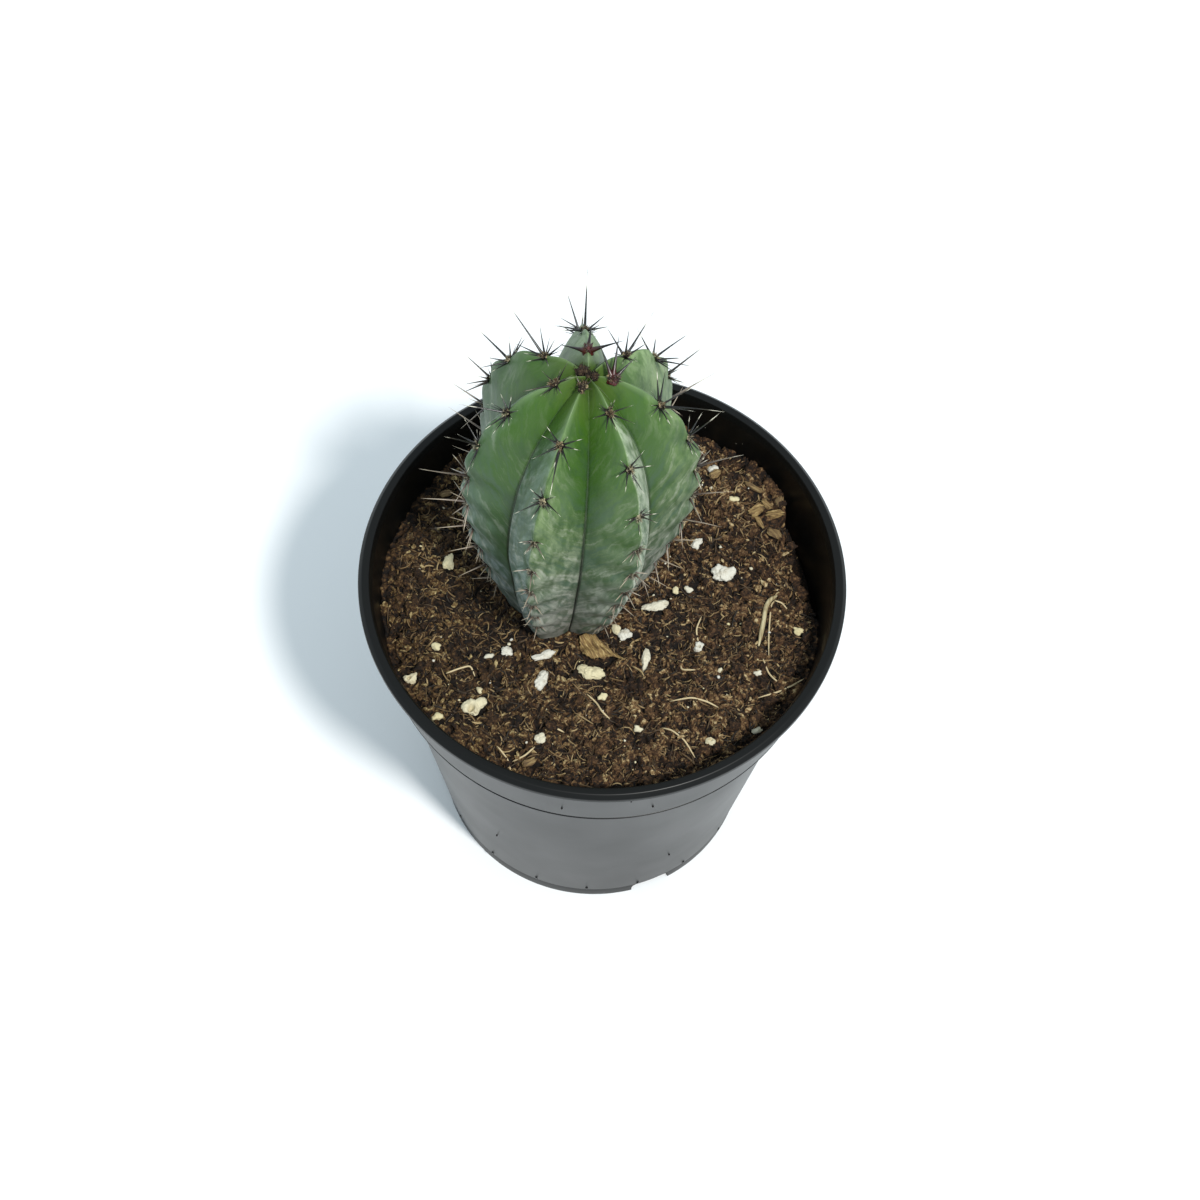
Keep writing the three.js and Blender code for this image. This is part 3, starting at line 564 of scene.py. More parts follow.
# The areoles are small felt pads on the crests, one to each scallop. They are grown from the skin,
# brown while young near the top, and cream to grey further down. On the tip of the stem stand three
# tufts of new wool and bristles, given by their place from its middle and their width.
PAD_LUMPS = 12
PAD_HAIRS = 50
APEX_TUFTS = [(-1.3, 1.2, 1.1), (1.2, 0, 0.8), (0, 0.3, 0.6)]
TUFT_LUMPS = 9
TUFT_BRISTLES = 80
LUMP_TURN = 2.4
BRISTLE_AGES = [0.03, 0.06, 0.09, 0.13, 0.2]


def icosphere(subdivisions):
    """Points and faces of a unit ball of even triangles."""
    ball = bmesh.new()
    bmesh.ops.create_icosphere(ball, subdivisions=subdivisions, radius=1)
    points = np.array([v.co for v in ball.verts])
    faces = np.array([[v.index for v in f.verts] for f in ball.faces])
    ball.free()
    return points, faces


def joined(parts):
    """Several (points, faces) as one list of points and one of faces."""
    points, faces, first = [], [], 0
    for part_points, part_faces in parts:
        points.append(part_points)
        faces.append(np.asarray(part_faces) + first)
        first += len(part_points)
    return np.vstack(points), np.vstack(faces)


def areole_seat(rib, length):
    """An areole's place on the crest, with its outward, upward and sideways directions."""
    t = np.interp(length, crest_lengths, curve_t)
    above, below = profile_at(CREST_PROFILE, [t - 0.012, t + 0.012])
    rise = (above - below) / np.linalg.norm(above - below)
    angle = math.radians(RIB_ANGLES[rib])
    radial = np.array([math.cos(angle), math.sin(angle), 0])
    up = radial * rise[0] + np.array([0, 0, rise[1]])
    side = np.array([-math.sin(angle), math.cos(angle), 0])
    return crest_line(rib, [t])[0], np.cross(side, up), up, side


def needle(root, way, length, radius, bend, sides, steps, flare=(0.8, 0.07)):
    """A tapering needle with a root swollen by a share over a share of its length, and bent sideways."""
    across = np.cross(way, [0.3, 0.5, 0.8])
    across /= np.linalg.norm(across)
    beside = np.cross(way, across)
    shares = np.array(steps)
    girth = radius * np.minimum(1, 1.25 * (1 - shares) ** 0.8)
    girth = girth * (1 - 0.35 * shares + flare[0] * np.exp(-shares / flare[1]))
    middle = root + np.outer(shares, way) * length + np.outer(shares ** 2, bend) * length
    turn = np.arange(sides) * 2 * math.pi / sides
    ring = np.cos(turn)[:, None] * across + np.sin(turn)[:, None] * beside
    points = (middle[:, None] + girth[:, None, None] * ring[None]).reshape(-1, 3)
    tip = root + way * length * 1.02 + bend * length * 1.02
    faces = []
    for row in range(len(steps) - 1):
        for j in range(sides):
            a, b = row * sides + j, row * sides + (j + 1) % sides
            faces += [(a, b, b + sides), (a, b + sides, a + sides)]
    last = (len(steps) - 1) * sides
    faces += [(last + j, last + (j + 1) % sides, last + sides) for j in range(sides)]
    faces += [(0, j + 1, j) for j in range(1, sides - 1)]
    return np.vstack([points, tip]), faces


# Wool felt: dull and fuzzy, brown when young and bleached when old, shaded in tufts of about 0.9 mm
areole_wool, tree, shader = new_material("areole_wool", Roughness=0.95)
age = add_node(tree, "Attribute", attribute_name="age", output="Fac")
place = add_node(tree, "TexCoord", output="Object")
wool_tone = add_node(tree, "ValToRGB", {"Fac": age},
                     stops=[(0.06, "#261a11"), (0.13, "#4a3623"), (0.22, "#8f7d5c"),
                            (0.4, "#aea486"), (0.85, "#8e897b")])
tuft = add_node(tree, "TexNoise", {"Vector": place, "Scale": 1100, "Detail": 4})
shaded = add_node(tree, "MapRange", {0: tuft, "From Min": 0.55, "From Max": 0.42})
tufted = add_node(tree, "MixRGB", {"Fac": shaded, "Color1": wool_tone, "Color2": colour("#241a12")})
tree.links.new(tufted, shader.inputs["Base Color"])

pad_ball, pad_faces = icosphere(2)
draw = random.Random(31)
pads, pad_ages, areoles = [], [], []
for rib in range(RIB_COUNT):
    for length in areole_lengths(rib):
        areoles.append((rib, length, *areole_seat(rib, length)))
for rib, length, seat, out, up, side in areoles:
    share = length / LAST_AREOLE
    young = max(0, 1 - share / 0.13)
    wide = 0.78 + 0.42 * young - 0.1 * share
    long = 1.3 + 0.3 * young
    for lump in range(PAD_LUMPS):
        turn, lie = lump * LUMP_TURN, wide * 0.85 * math.sqrt(lump / PAD_LUMPS)
        at = side * math.cos(turn) * lie + up * math.sin(turn) * lie * long
        stretch = np.array([0.9, 1.1, 0.8 + 0.7 * young]) * wide * draw.uniform(0.26, 0.42)
        pads.append((seat + at - out * 0.12 + (pad_ball * stretch) @ np.array([side, up, out]), pad_faces))
        bleach = draw.uniform(0, 0.06) + (draw.uniform(0, 0.2) if lump > 7 else 0)
        pad_ages += [share + bleach] * len(pad_ball)
    for index in range(PAD_HAIRS):
        turn, lie = draw.uniform(0, 2 * math.pi), draw.random() ** 0.6
        foot = side * math.cos(turn) * lie * wide + up * math.sin(turn) * lie * wide * long
        lean = foot / wide * 0.9 + side * draw.uniform(-0.4, 0.4) + up * draw.uniform(-0.4, 0.4)
        way = out + lean
        root = seat + foot + out * (0.35 * (1 - lie))
        hair = needle(root, way / np.linalg.norm(way), draw.uniform(0.35, 0.9), 0.05, lean * 0.2, 3,
                      [0, 0.5])
        pads.append(hair)
        pad_ages += [share + draw.uniform(-0.03, 0.3)] * len(hair[0])
for east, north, wide in APEX_TUFTS:
    for lump in range(TUFT_LUMPS):
        turn, lie = lump * LUMP_TURN, wide * 0.8 * math.sqrt(lump / TUFT_LUMPS)
        at = top + np.array([east + math.cos(turn) * lie, north + math.sin(turn) * lie, 0.1])
        pads.append((at + pad_ball * np.array([0.42, 0.42, 0.75]) * wide, pad_faces))
        pad_ages += [0.06 + 0.02 * (lump % 4)] * len(pad_ball)
    for bristle in range(int(TUFT_BRISTLES * wide)):
        turn, lie = draw.uniform(0, 2 * math.pi), math.sqrt(draw.random()) * wide
        foot = np.array([east + math.cos(turn) * lie, north + math.sin(turn) * lie, -0.2])
        way = Vector((math.cos(turn) * 0.5 * lie, math.sin(turn) * 0.5 * lie, 1)).normalized()
        hair = needle(top + foot, np.array(way), draw.uniform(0.8, 1.5), 0.15, np.zeros(3), 4,
                      [0, 0.4, 0.75])
        pads.append(hair)
        pad_ages += [draw.choice(BRISTLE_AGES)] * len(hair[0])
felt = mesh_piece("areole_felt", *joined(pads), areole_wool, values={"age": pad_ages})
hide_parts("cactus")
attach(felt, "root")

# The spines are hard needles of horn that grow from each areole: a long one outwards and a ring of
# shorter ones. The newest are stout and maroon, the others black at the root and tan beyond it.
# Lengths run through three values: at the top of the stem, its middle and its foot.
SPOKES = 4
SIDE_LENGTH = [5, 5.5, 4.5]
CENTRAL_LENGTH = [9, 11.5, 6.5]
RIB_SPINE_LENGTH = [1, 1, 1, 1, 1, 0.55, 0.6]
SPINE_STEPS = [0, 0.08, 0.22, 0.42, 0.62, 0.8, 0.93]
SPINE_TOP = 172.2
NEW_AREOLES = [(0, 0), (2, 0)]
NEW_BUDS = 14
NEW_GIRTH = 0.34
BUD_GIRTH = 0.52
FINE_GIRTH = 0.13
NEW_ROOT = (1.2, 0.16)
ROOT = (0.9, 0.07)
FEWER_SPINES = (5, 6)
# The spines that show against the sky and on the front, by rib and areole: each one's tilt from the
# areole's outward direction, its turn round it from upwards, and its length
SEEN_SPINES = {
    (2, 1): [(25, -172, 13.5), (57, 75, 5.8), (76, 58, 7), (84, 49, 6.5), (55, -117, 5.7), (77, -49, 6.5),
             (95, -18, 6), (93, 13, 6)],
    (2, 0): [(58, 57, 7.5), (50, -169, 5), (57, -65, 8)],
    (0, 0): [(50, 44, 7), (50, 80, 8), (55, 124, 5.5)],
    (1, 0): [(55, 62, 7.2), (55, 129, 5.6), (25, 159, 10.4), (55, -177, 5.7), (60, -48, 5.5), (64, -12, 5.5)],
    (1, 1): [(68, 48, 6.9), (55, 128, 6.8), (25, -177, 10), (58, -109, 8), (80, -71, 6), (54, -150, 7.5)],
    (0, 1): [(61, 34, 8), (55, 52, 7.1), (55, 126, 7.4), (25, -169, 12.4), (55, 170, 6.3), (55, -103, 5.3),
             (68, -55, 6)],
    (3, 0): [(25, -158, 12.8), (55, -126, 6.6), (55, 174, 6.5), (63, -26, 6), (75, 33, 5), (55, 94, 4)],
    (3, 1): [(25, -156, 11.2), (55, -116, 5.6), (66, -42, 6), (73, -36, 6.6), (55, 171, 5.8), (55, 112, 6),
             (74, 74, 5.1)],
    (3, 2): [(25, 15, 8.5), (55, -27, 4.5), (56, 46, 4), (59, 120, 7.2), (55, 75, 5.9)],
    (4, 0): [(55, -21, 4.6), (55, 18, 4.5), (55, 170, 6.2), (55, 71, 4.5), (55, 134, 4.5)],
    (4, 1): [(25, -146, 9), (55, 122, 5), (55, -6, 4.7), (55, 160, 4.9), (63, 70, 5), (55, -69, 3.2),
             (70, 32, 4.5)],
    (6, 0): [(55, -33, 2.9), (54, 96, 4), (55, 142, 4.8), (55, -84, 3.8), (55, -134, 4.6), (55, -168, 4)],
    (5, 0): [(50, -55, 2.6), (50, 37, 2.4), (50, 168, 3)],
    (5, 1): [(62, 168, 9.5), (55, -45, 5), (60, 53, 6), (55, 79, 5), (55, -135, 5.4), (55, 172, 4.3),
             (55, 130, 5), (56, -73, 3.6)],
    (5, 2): [(55, -122, 5.2), (55, 35, 5), (55, 88, 5.5), (55, -162, 3.7), (55, -38, 4.4), (55, -6, 4.6)],
    (6, 1): [(55, 38, 5), (55, 91, 4.4), (55, -74, 4.6), (55, 172, 4.8), (55, -27, 4.6), (54, -134, 4)]}


def seeded_stream(seed):
    """The CAD's repeatable stream of numbers from 0 to 1, so that its spines stand here too."""
    mask = 0xFFFFFFFF
    state = seed
    while True:
        state = (state + 0x6D2B79F5) & mask
        mixed = ((state ^ state >> 15) * (1 | state)) & mask
        mixed = ((mixed + (((mixed ^ mixed >> 7) * (61 | mixed)) & mask)) & mask) ^ mixed
        yield (mixed ^ mixed >> 14) / 4294967296


def down_stem(stops, share):
    """A value at a share of the way down the stem, from its three stops."""
    return float(np.interp(share, [0, 0.5, 1], stops))


# Spine horn: smooth and hard, so that it glints; dark at the root, and clearer towards the tip. The
# mid-stem spines also carry a painted glint: a band of near white short of the tip.
spine_horn, tree, shader = new_material("spine_horn", Roughness=0.3, IOR=1.54)
age = add_node(tree, "Attribute", attribute_name="age", output="Fac")
along = add_node(tree, "Attribute", attribute_name="along", output="Fac")
maroon = add_node(tree, "ValToRGB", {"Fac": along},
                  stops=[(0, "#54211f"), (0.2, "#3d1a17"), (0.5, "#1d100d"), (1, "#0b0706")])
dark = add_node(tree, "ValToRGB", {"Fac": along},
                stops=[(0, "#0d0a08"), (0.3, "#1a1310"), (0.6, "#3b2f29"), (0.9, "#6d5e50"), (1, "#3a2c24")])
# Mid-stem spines: black for half their length, then a painted glint of near white, then a darker tip
glint_band = add_node(tree, "ValToRGB", {"Fac": along},
                  stops=[(0, "#0b0807"), (0.5, "#14110d"), (0.64, "#3d372c"), (0.72, "#dcd6c2"),
                         (0.84, "#e4dfcc"), (0.93, "#5a5140")])
tan = add_node(tree, "ValToRGB", {"Fac": along},
               stops=[(0, "#1d1410"), (0.2, "#54453a"), (0.45, "#9c8d7c"), (0.85, "#c3b49c"), (1, "#7d6a55")])
horn = maroon
for older, start, full in [(dark, 0.02, 0.06), (glint_band, 0.08, 0.13), (tan, 0.35, 0.6)]:
    reached = add_node(tree, "MapRange", {0: age, "From Min": start, "From Max": full})
    horn = add_node(tree, "MixRGB", {"Fac": reached, "Color1": horn, "Color2": older})
tree.links.new(horn, shader.inputs["Base Color"])

stream = seeded_stream(11)
draw = random.Random(53)
spines, spine_ages, spine_along = [], [], []


def grow(areole, tilt, turn, length, girth, age):
    """Adds a spine at a tilt from the areole's outward direction, turned round it from upwards."""
    seat, out, up, side = areole[2:]
    across = up * math.cos(math.radians(turn)) + side * math.sin(math.radians(turn))
    way = out * math.cos(math.radians(tilt)) + across * math.sin(math.radians(tilt))
    root = seat - out * 0.4 + across * min(0.6, tilt / 80)
    if way[2] > 0:
        length = min(length, (SPINE_TOP - root[2]) / way[2])
    if (root + way * length)[2] < SOIL_LEVEL + 1.5:
        return
    bend = across * draw.uniform(-0.05, 0.12) - np.array([0, 0, draw.uniform(0, 0.08)])
    spine = needle(root, way, length, girth, bend, 5, SPINE_STEPS, NEW_ROOT if age == 0 else ROOT)
    spines.append(spine)
    spine_ages.extend([age] * len(spine[0]))
    # The ramps are stretched along each spine by a random share, so its painted glint falls at its own place,
    # or past the tip
    stretch = draw.uniform(1, 2.2) * min(1, length / 5) if age == 0 else draw.uniform(0.72, 1.08)
    spine_along.extend(stretch * np.append(np.repeat(SPINE_STEPS, 5), 1))


for areole in areoles:
    rib, down = areole[:2]
    index = areole_lengths(rib).index(down)
    share = down / LAST_AREOLE
    new = (rib, index) in NEW_AREOLES
    age = 0 if new else max(0.07, share)
    long = RIB_SPINE_LENGTH[rib]
    start = next(stream) * 360
    spokes = []
    for spoke in range(SPOKES):
        turn = start + ((spoke + next(stream) * 0.4) / SPOKES) * 360
        length = down_stem(SIDE_LENGTH, share) * (0.75 + next(stream) * 0.5)
        spokes.append((50 + next(stream) * 20, turn, length * long))
    lean = (next(stream) - 0.5) * 92
    spokes.append((24, lean, down_stem(CENTRAL_LENGTH, share) * (0.8 + next(stream) * 0.3) * long))
    for tilt, turn, length in SEEN_SPINES.get((rib, index), spokes):
        grow(areole, tilt, turn, length, NEW_GIRTH if new else 0.17 + 0.006 * length, age)
    for bud in range(NEW_BUDS if new else 0):
        tilt = draw.uniform(5, 70)
        grow(areole, tilt, bud * 137, draw.uniform(1.3, 2) - tilt / 90, BUD_GIRTH, age)
    for extra in range(0 if new else 4 if rib in FEWER_SPINES else 5):
        grow(areole, draw.uniform(58, 80), draw.uniform(0, 360),
             down_stem(SIDE_LENGTH, share) * draw.uniform(0.5, 0.85) * long, FINE_GIRTH, age)
spine_piece = mesh_piece("cactus_spines", *joined(spines), spine_horn,
                         values={"age": spine_ages, "along": spine_along})
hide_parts("cactus")
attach(spine_piece, "root")

# Perlite is volcanic glass popped like corn: light, chalky white to cream grains, knobbly and pitted.
# The larger ones lie bedded in the soil; the small ones are spilt between them. The soil under them
# rises and sinks in swells, each with its place, its rise and its spread.
SWELLS = [(-32, -36, 4.5, 10), (46, 6, -6, 11), (-46, -13, -4, 7), (-27, -4, -2.5, 7), (34, 30, 2.5, 9),
          (22, -22, 1.5, 8)]
# The bedded grains: each one's place, length, width and turn
PERLITE = [
    (-25.5, -29.5, 5.1, 3.8, 60), (-11.8, -21.6, 4.3, 3.4, 95), (-1.5, -18.8, 5.8, 4.1, 15),
    (11.8, -2.2, 5.2, 3.2, 20), (26.6, 7.3, 5.5, 4.8, 40), (10.2, -15.2, 5.4, 2.2, 85),
    (-11.6, -15.6, 5, 2.4, 20), (-20, -15.4, 2.8, 2.6, 0), (-40, -22.6, 2.8, 2.5, 50),
    (-11.2, -34.8, 2.8, 2.4, 70), (-34, 6, 4.4, 2.3, 85), (5.6, -9.6, 2.8, 2.5, 40),
    (21.6, -11.4, 2.4, 2.2, 30), (20.4, 14.4, 2.4, 2.1, 60), (24.4, -33.6, 2.6, 2.1, 15),
    (23.8, 33, 2.8, 2.5, 35), (-28, 28, 3.6, 2.6, 110), (-6, 36, 4.2, 3, 20)]
# The lobes of the grains whose shape shows: each one's plan angle, its distance out and its size
LOBES = {1: [(180, 0.5, 0.62), (25, 0.55, 0.55), (280, 0.2, 0.6)], 2: [(65, 0.5, 0.55), (235, 0.45, 0.62)],
         3: [(150, 0.62, 0.42), (340, 0.42, 0.6), (280, 0.35, 0.4)], 4: [(190, 0.5, 0.5), (20, 0.4, 0.62)],
         5: [(150, 0.62, 0.42), (200, 0.4, 0.4), (330, 0.4, 0.5), (10, 0.6, 0.4)],
         6: [(80, 0.25, 0.75), (265, 0.6, 0.42)], 7: [(60, 0.4, 0.6), (200, 0.5, 0.55)]}
# Where a grain has a hollow in its top, and how cream a grain is; the others are full and near white
HOLLOW = {1: (-0.4, 0.1), 9: (0, 0.2), 13: (0, 0), 15: (0.2, 0)}
CREAM = {1: 0.6, 3: 0.7, 4: 0.3, 6: 0.35, 9: 0.6, 10: 0.4, 11: 0.7, 15: 0.6}
GRAIN_THICKNESS = 0.8
# The spilt grains: each one's place and width
SPILT = [
    (-35.1, -14.1, 2.3), (-23.3, -16.3, 2), (-24.8, -25.2, 1.8), (-33.3, -33.1, 2.3), (3.7, -8.3, 2.3),
    (16, 2.3, 2), (18.8, 3, 2), (26.1, -17.1, 1.3), (34.4, -17.1, 1.8), (1.4, -24.1, 1.8), (34.4, -30.4, 2),
    (9.4, -31.6, 2), (43.2, -5.1, 2.2), (28.4, 25.3, 2)]
DUST_COUNT = 100
DUST_REACH = 46
STEM_CLEAR = 17


def soil_height(x, y):
    """The soil's height without its crumbs."""
    height = SOIL_LEVEL + 0.8 * np.sin(x / 7 + 1) * np.cos(y / 8)
    for at_x, at_y, rise, spread in SWELLS:
        height = height + rise * np.exp(-((x - at_x) ** 2 + (y - at_y) ** 2) / spread ** 2)
    return height


def rough_grain(x, y, length, width, tall, turn, ball, lumps, seed, lobes=(), hollow=None):
    """A knobbly grain, a quarter of it under the surface, with any lobes and a hollow in its top."""
    points, faces = ball
    draw = random.Random(seed)
    scale = np.full(len(points), 0.6 if lobes else 1.0)
    for angle, out, size in lobes:
        around = math.radians(angle - turn)
        centre = np.array([math.cos(around), math.sin(around), draw.uniform(-0.2, 0.2)]) * out
        facing = points @ centre
        within = np.maximum(0, facing ** 2 - centre @ centre + size ** 2)
        scale = np.maximum(scale, np.where(facing > 0, facing + np.sqrt(within), 0))
    for index, p in enumerate(points):
        broad = noise.noise(Vector(p) * 1.3 + Vector((seed, 0, 0)))
        knobs = noise.noise(Vector(p) * 3.5 + Vector((0, seed, 0)))
        pits = noise.noise(Vector(p) * 8 + Vector((0, 0, seed)))
        scale[index] *= 0.97 + lumps * (broad + 0.6 * knobs + 0.35 * pits)
    shaped = points * scale[:, None]
    if hollow:
        away = np.hypot(shaped[:, 0] - hollow[0], shaped[:, 1] - hollow[1])
        shaped[:, 2] -= np.where(points[:, 2] > 0, 1.1 * np.exp(-(away / 0.28) ** 4), 0)
    shaped = shaped * [length / 2, width / 2, tall / 2]
    spin = np.array(Matrix.Rotation(math.radians(turn), 3, "Z"))
    return shaped @ spin.T + [x, y, soil_height(x, y) + tall * 0.25], faces


# Perlite: chalk-dull white glass foam, with cream and dust in its hollows. Its pits are drawn 0.6 mm
# wide, coarser than real ones, to show, and its stains 1.4 mm.
popped_perlite, tree, shader = new_material("popped_perlite", Roughness=0.85, IOR=1.5)
place = add_node(tree, "TexCoord", output="Object")
cream = add_node(tree, "Attribute", attribute_name="cream", output="Fac")
white = add_node(tree, "MixRGB",
                 {"Fac": cream, "Color1": colour("#cfccc2"), "Color2": colour("#cfc190")})
cells = add_node(tree, "TexVoronoi", {"Vector": place, "Scale": 1600})
stain = add_node(tree, "TexNoise", {"Vector": place, "Scale": 700, "Detail": 4})
stained = add_node(tree, "MapRange", {0: stain, "From Min": 0.52, "From Max": 0.75, "To Max": 0.6})
dirty = add_node(tree, "MixRGB", {"Fac": stained, "Color1": white, "Color2": colour("#8d7a58")})
tree.links.new(dirty, shader.inputs["Base Color"])
pitted = add_node(tree, "Bump", {"Height": cells, "Strength": 0.5, "Distance": 0.2 * MM})
tree.links.new(pitted, shader.inputs["Normal"])

bedded = []
for number, (x, y, length, width, turn) in enumerate(PERLITE, 1):
    tall = max(width * GRAIN_THICKNESS, 1)
    draw = random.Random(number)
    lobes = LOBES.get(number) or [(draw.uniform(0, 360), 0.45, draw.uniform(0.45, 0.7)) for lobe in range(4)]
    grain = rough_grain(x, y, length * 1.1, width * 1.1, tall, turn, icosphere(5), 0.26, number * 3.1,
                        lobes, HOLLOW.get(number))
    bedded.append(grain)
    grain_piece = mesh_piece(f"perlite_grain_{number:02d}", *grain, popped_perlite,
                             values={"cream": [CREAM.get(number, 0.1)] * len(grain[0])})
    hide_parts(f"perlite_{number:02d}")
    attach(grain_piece, "root")
draw = random.Random(5)
spilt = []
for x, y, width in SPILT:
    lobes = [(draw.uniform(0, 360), 0.5, draw.uniform(0.4, 0.7)) for lobe in range(4)]
    spilt.append(rough_grain(x, y, width * 1.15, width * 0.85, width * 0.7, x * 37, icosphere(3), 0.3,
                             x, lobes))
bedded += spilt
spilt_cream = []
for grain in spilt:
    spilt_cream += [draw.uniform(0.2, 0.9)] * len(grain[0])
for index in range(DUST_COUNT):
    around, out = draw.uniform(0, 6.28), DUST_REACH * math.sqrt(draw.random())
    width = 0.35 + 0.7 * draw.random() ** 2
    x, y = out * math.cos(around), out * math.sin(around)
    if math.hypot(x - STEM_FOOT[0], y - STEM_FOOT[1]) > STEM_CLEAR:
        grain = rough_grain(x, y, width, width * 0.8, width * 0.7, around * 57, icosphere(1), 0.5, index)
        spilt.append((grain[0] + [0, 0, 0.5], grain[1]))
        spilt_cream += [draw.random()] * len(grain[0])
spilt_piece = mesh_piece("perlite_spilt", *joined(spilt), popped_perlite,
                         values={"cream": spilt_cream})
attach(spilt_piece, "root")

# The bark is dry litter from the mix, broken and split from larger pieces, that lies loose on the soil:
# a crumpled ochre flake with a long tail, two chips and nine small ones. A chip is given by its place,
# length, width and turn, and by how weathered it is.
FLAKE_OUTLINE = [(0, 3.4), (25, 2.8), (60, 2.6), (85, 3.4), (110, 3.2), (135, 4.4), (155, 3.2), (190, 2.8),
                 (225, 2.6), (265, 2.4), (300, 2.6), (325, 3.6), (340, 7.4), (350, 4.8)]
FLAKE_PLACE = (-1.2, -13.4)
FLAKE_LIFT = 1.5
FLAKE_THICKNESS = 0.5
FLAKE_RINGS = 18
FLAKE_SIDES = 110
CHIPS = [("bark_chip_01", 33.4, 23, 4.2, 2.6, 20, 0.15), ("bark_chip_02", 37.6, 18.6, 3.8, 2.4, -40, 0.5)]
SMALL_CHIPS = [
    (32.6, 28, 5.2, 1.3, -28, 0.4), (35.6, 24.4, 3.2, 1.6, -35, 0.2), (37.6, 22.4, 4.4, 1.9, 2, 0.1),
    (34.2, 20.4, 3.8, 1.2, -55, 0.2), (24, 31.6, 3.2, 2.2, 40, 0.3), (38.6, 25.6, 2.8, 1.9, 80, 0.6),
    (-36, 24, 3.4, 1.6, 15, 0.6), (8, 38, 3.8, 1.7, -20, 0.5), (-13.2, -41, 3.6, 1.7, 35, 0.4)]
CHIP_THICKNESS = 0.45
SMALL_CHIP_THICKNESS = 0.5

# Bark: dull, fibrous and warm brown, with darker lines along the grain, about 0.5 mm wide and 2 mm long
split_bark, tree, shader = new_material("split_bark", Roughness=0.8)
aged, along, beside = [add_node(tree, "Attribute", attribute_name=name, output="Fac")
                       for name in ("aged", "along", "beside")]
split_way = add_node(tree, "CombineXYZ", {"X": along, "Y": beside, "Z": aged})
stretched = add_node(tree, "VectorMath", {0: split_way, 1: (0.45, 2.2, 30)}, operation="MULTIPLY")
fibres = add_node(tree, "TexNoise", {"Vector": stretched, "Scale": 1, "Detail": 6, "Roughness": 0.65})
bark_tone = add_node(tree, "ValToRGB", {"Fac": fibres},
                     stops=[(0.32, "#35271a"), (0.44, "#6b5230"), (0.56, "#967c4b"), (0.7, "#c9b585")])
weathered = add_node(tree, "MixRGB", {"Fac": aged, "Color1": bark_tone, "Color2": colour("#5f4c36")})
tree.links.new(weathered, shader.inputs["Base Color"])
splits = add_node(tree, "Bump", {"Height": fibres, "Strength": 0.7, "Distance": 0.25 * MM})
tree.links.new(splits, shader.inputs["Normal"])


def split_chip(x, y, length, width, tall, turn, seed):
    """A chip split along its grain: blocky and bowed, with ragged ends and ridges along it."""
    points, faces = icosphere(4)
    block = np.sign(points) * np.abs(points) ** 0.6
    ends = np.array([noise.noise(Vector((q * 2.4, r * 2.4, seed))) for p, q, r in block])
    ridges = np.array([noise.noise(Vector((q * 4, r * 4, seed + 9)) + Vector((p * 0.5, 0, 0)))
                       for p, q, r in block])
    bow = np.array([noise.noise(Vector((p * 0.9, seed, 3))) for p, q, r in block])
    block[:, 0] *= 0.85 + 0.45 * ends
    block[:, 1] = block[:, 1] * (0.9 + 0.4 * ridges) * (1 - 0.25 * np.abs(block[:, 0])) + 0.5 * bow
    block[:, 2] = block[:, 2] * (0.9 + 0.5 * ridges) + 0.6 * bow
    spin = np.array(Matrix.Rotation(math.radians(turn), 3, "Z"))
    shaped = block * [length / 2, width / 2, tall / 2]
    return shaped @ spin.T + [x, y, soil_height(x, y) + tall * 0.3], faces


def grain_values(chip, x, y, turn, dull):
    """A chip's values for its material: how dull it is, and each point's place along and across it."""
    turn = math.radians(turn)
    east, north = chip[0][:, 0] - x, chip[0][:, 1] - y
    return {"aged": [dull] * len(east), "along": east * math.cos(turn) + north * math.sin(turn),
            "beside": north * math.cos(turn) - east * math.sin(turn)}


flake_angles = np.arange(FLAKE_SIDES) * 360 / FLAKE_SIDES
flake_reach = np.interp(flake_angles, *zip(*FLAKE_OUTLINE), period=360)
flake_points, flake_faces, flake_fold, flake_way = [], [], [], []
for face_up in (1, -1):
    for ring in range(FLAKE_RINGS + 1):
        for angle, reach in zip(np.radians(flake_angles), flake_reach):
            torn = noise.noise(Vector((math.cos(angle) * 5, math.sin(angle) * 5, 4)))
            out = ring / FLAKE_RINGS * (reach * (1 + 0.2 * torn))
            x = FLAKE_PLACE[0] + out * math.cos(angle)
            y = FLAKE_PLACE[1] + out * math.sin(angle) * 0.92
            fold, grain_way = 0.77 * x + 0.64 * y, 0.64 * x - 0.77 * y
            crumple = 1.2 * noise.noise(Vector((fold / 1.3, grain_way / 2.4, 2.5)))
            crumple += 0.25 * noise.fractal(Vector((fold / 0.5, grain_way / 2, 7.3)), 1, 2, 3)
            edge = math.sqrt(max(0, 1 - (ring / FLAKE_RINGS) ** 4))
            height = soil_height(x, y) + FLAKE_LIFT + crumple + face_up * FLAKE_THICKNESS / 2 * edge
            flake_points.append((x, y, height))
            flake_fold.append(fold)
            flake_way.append(grain_way)
under = (FLAKE_RINGS + 1) * FLAKE_SIDES
for ring in range(FLAKE_RINGS):
    for j in range(FLAKE_SIDES):
        a, b = ring * FLAKE_SIDES + j, ring * FLAKE_SIDES + (j + 1) % FLAKE_SIDES
        c, d = b + FLAKE_SIDES, a + FLAKE_SIDES
        flake_faces += [(a, d, c), (a, c, b)]
        flake_faces += [(under + a, under + c, under + d), (under + a, under + b, under + c)]
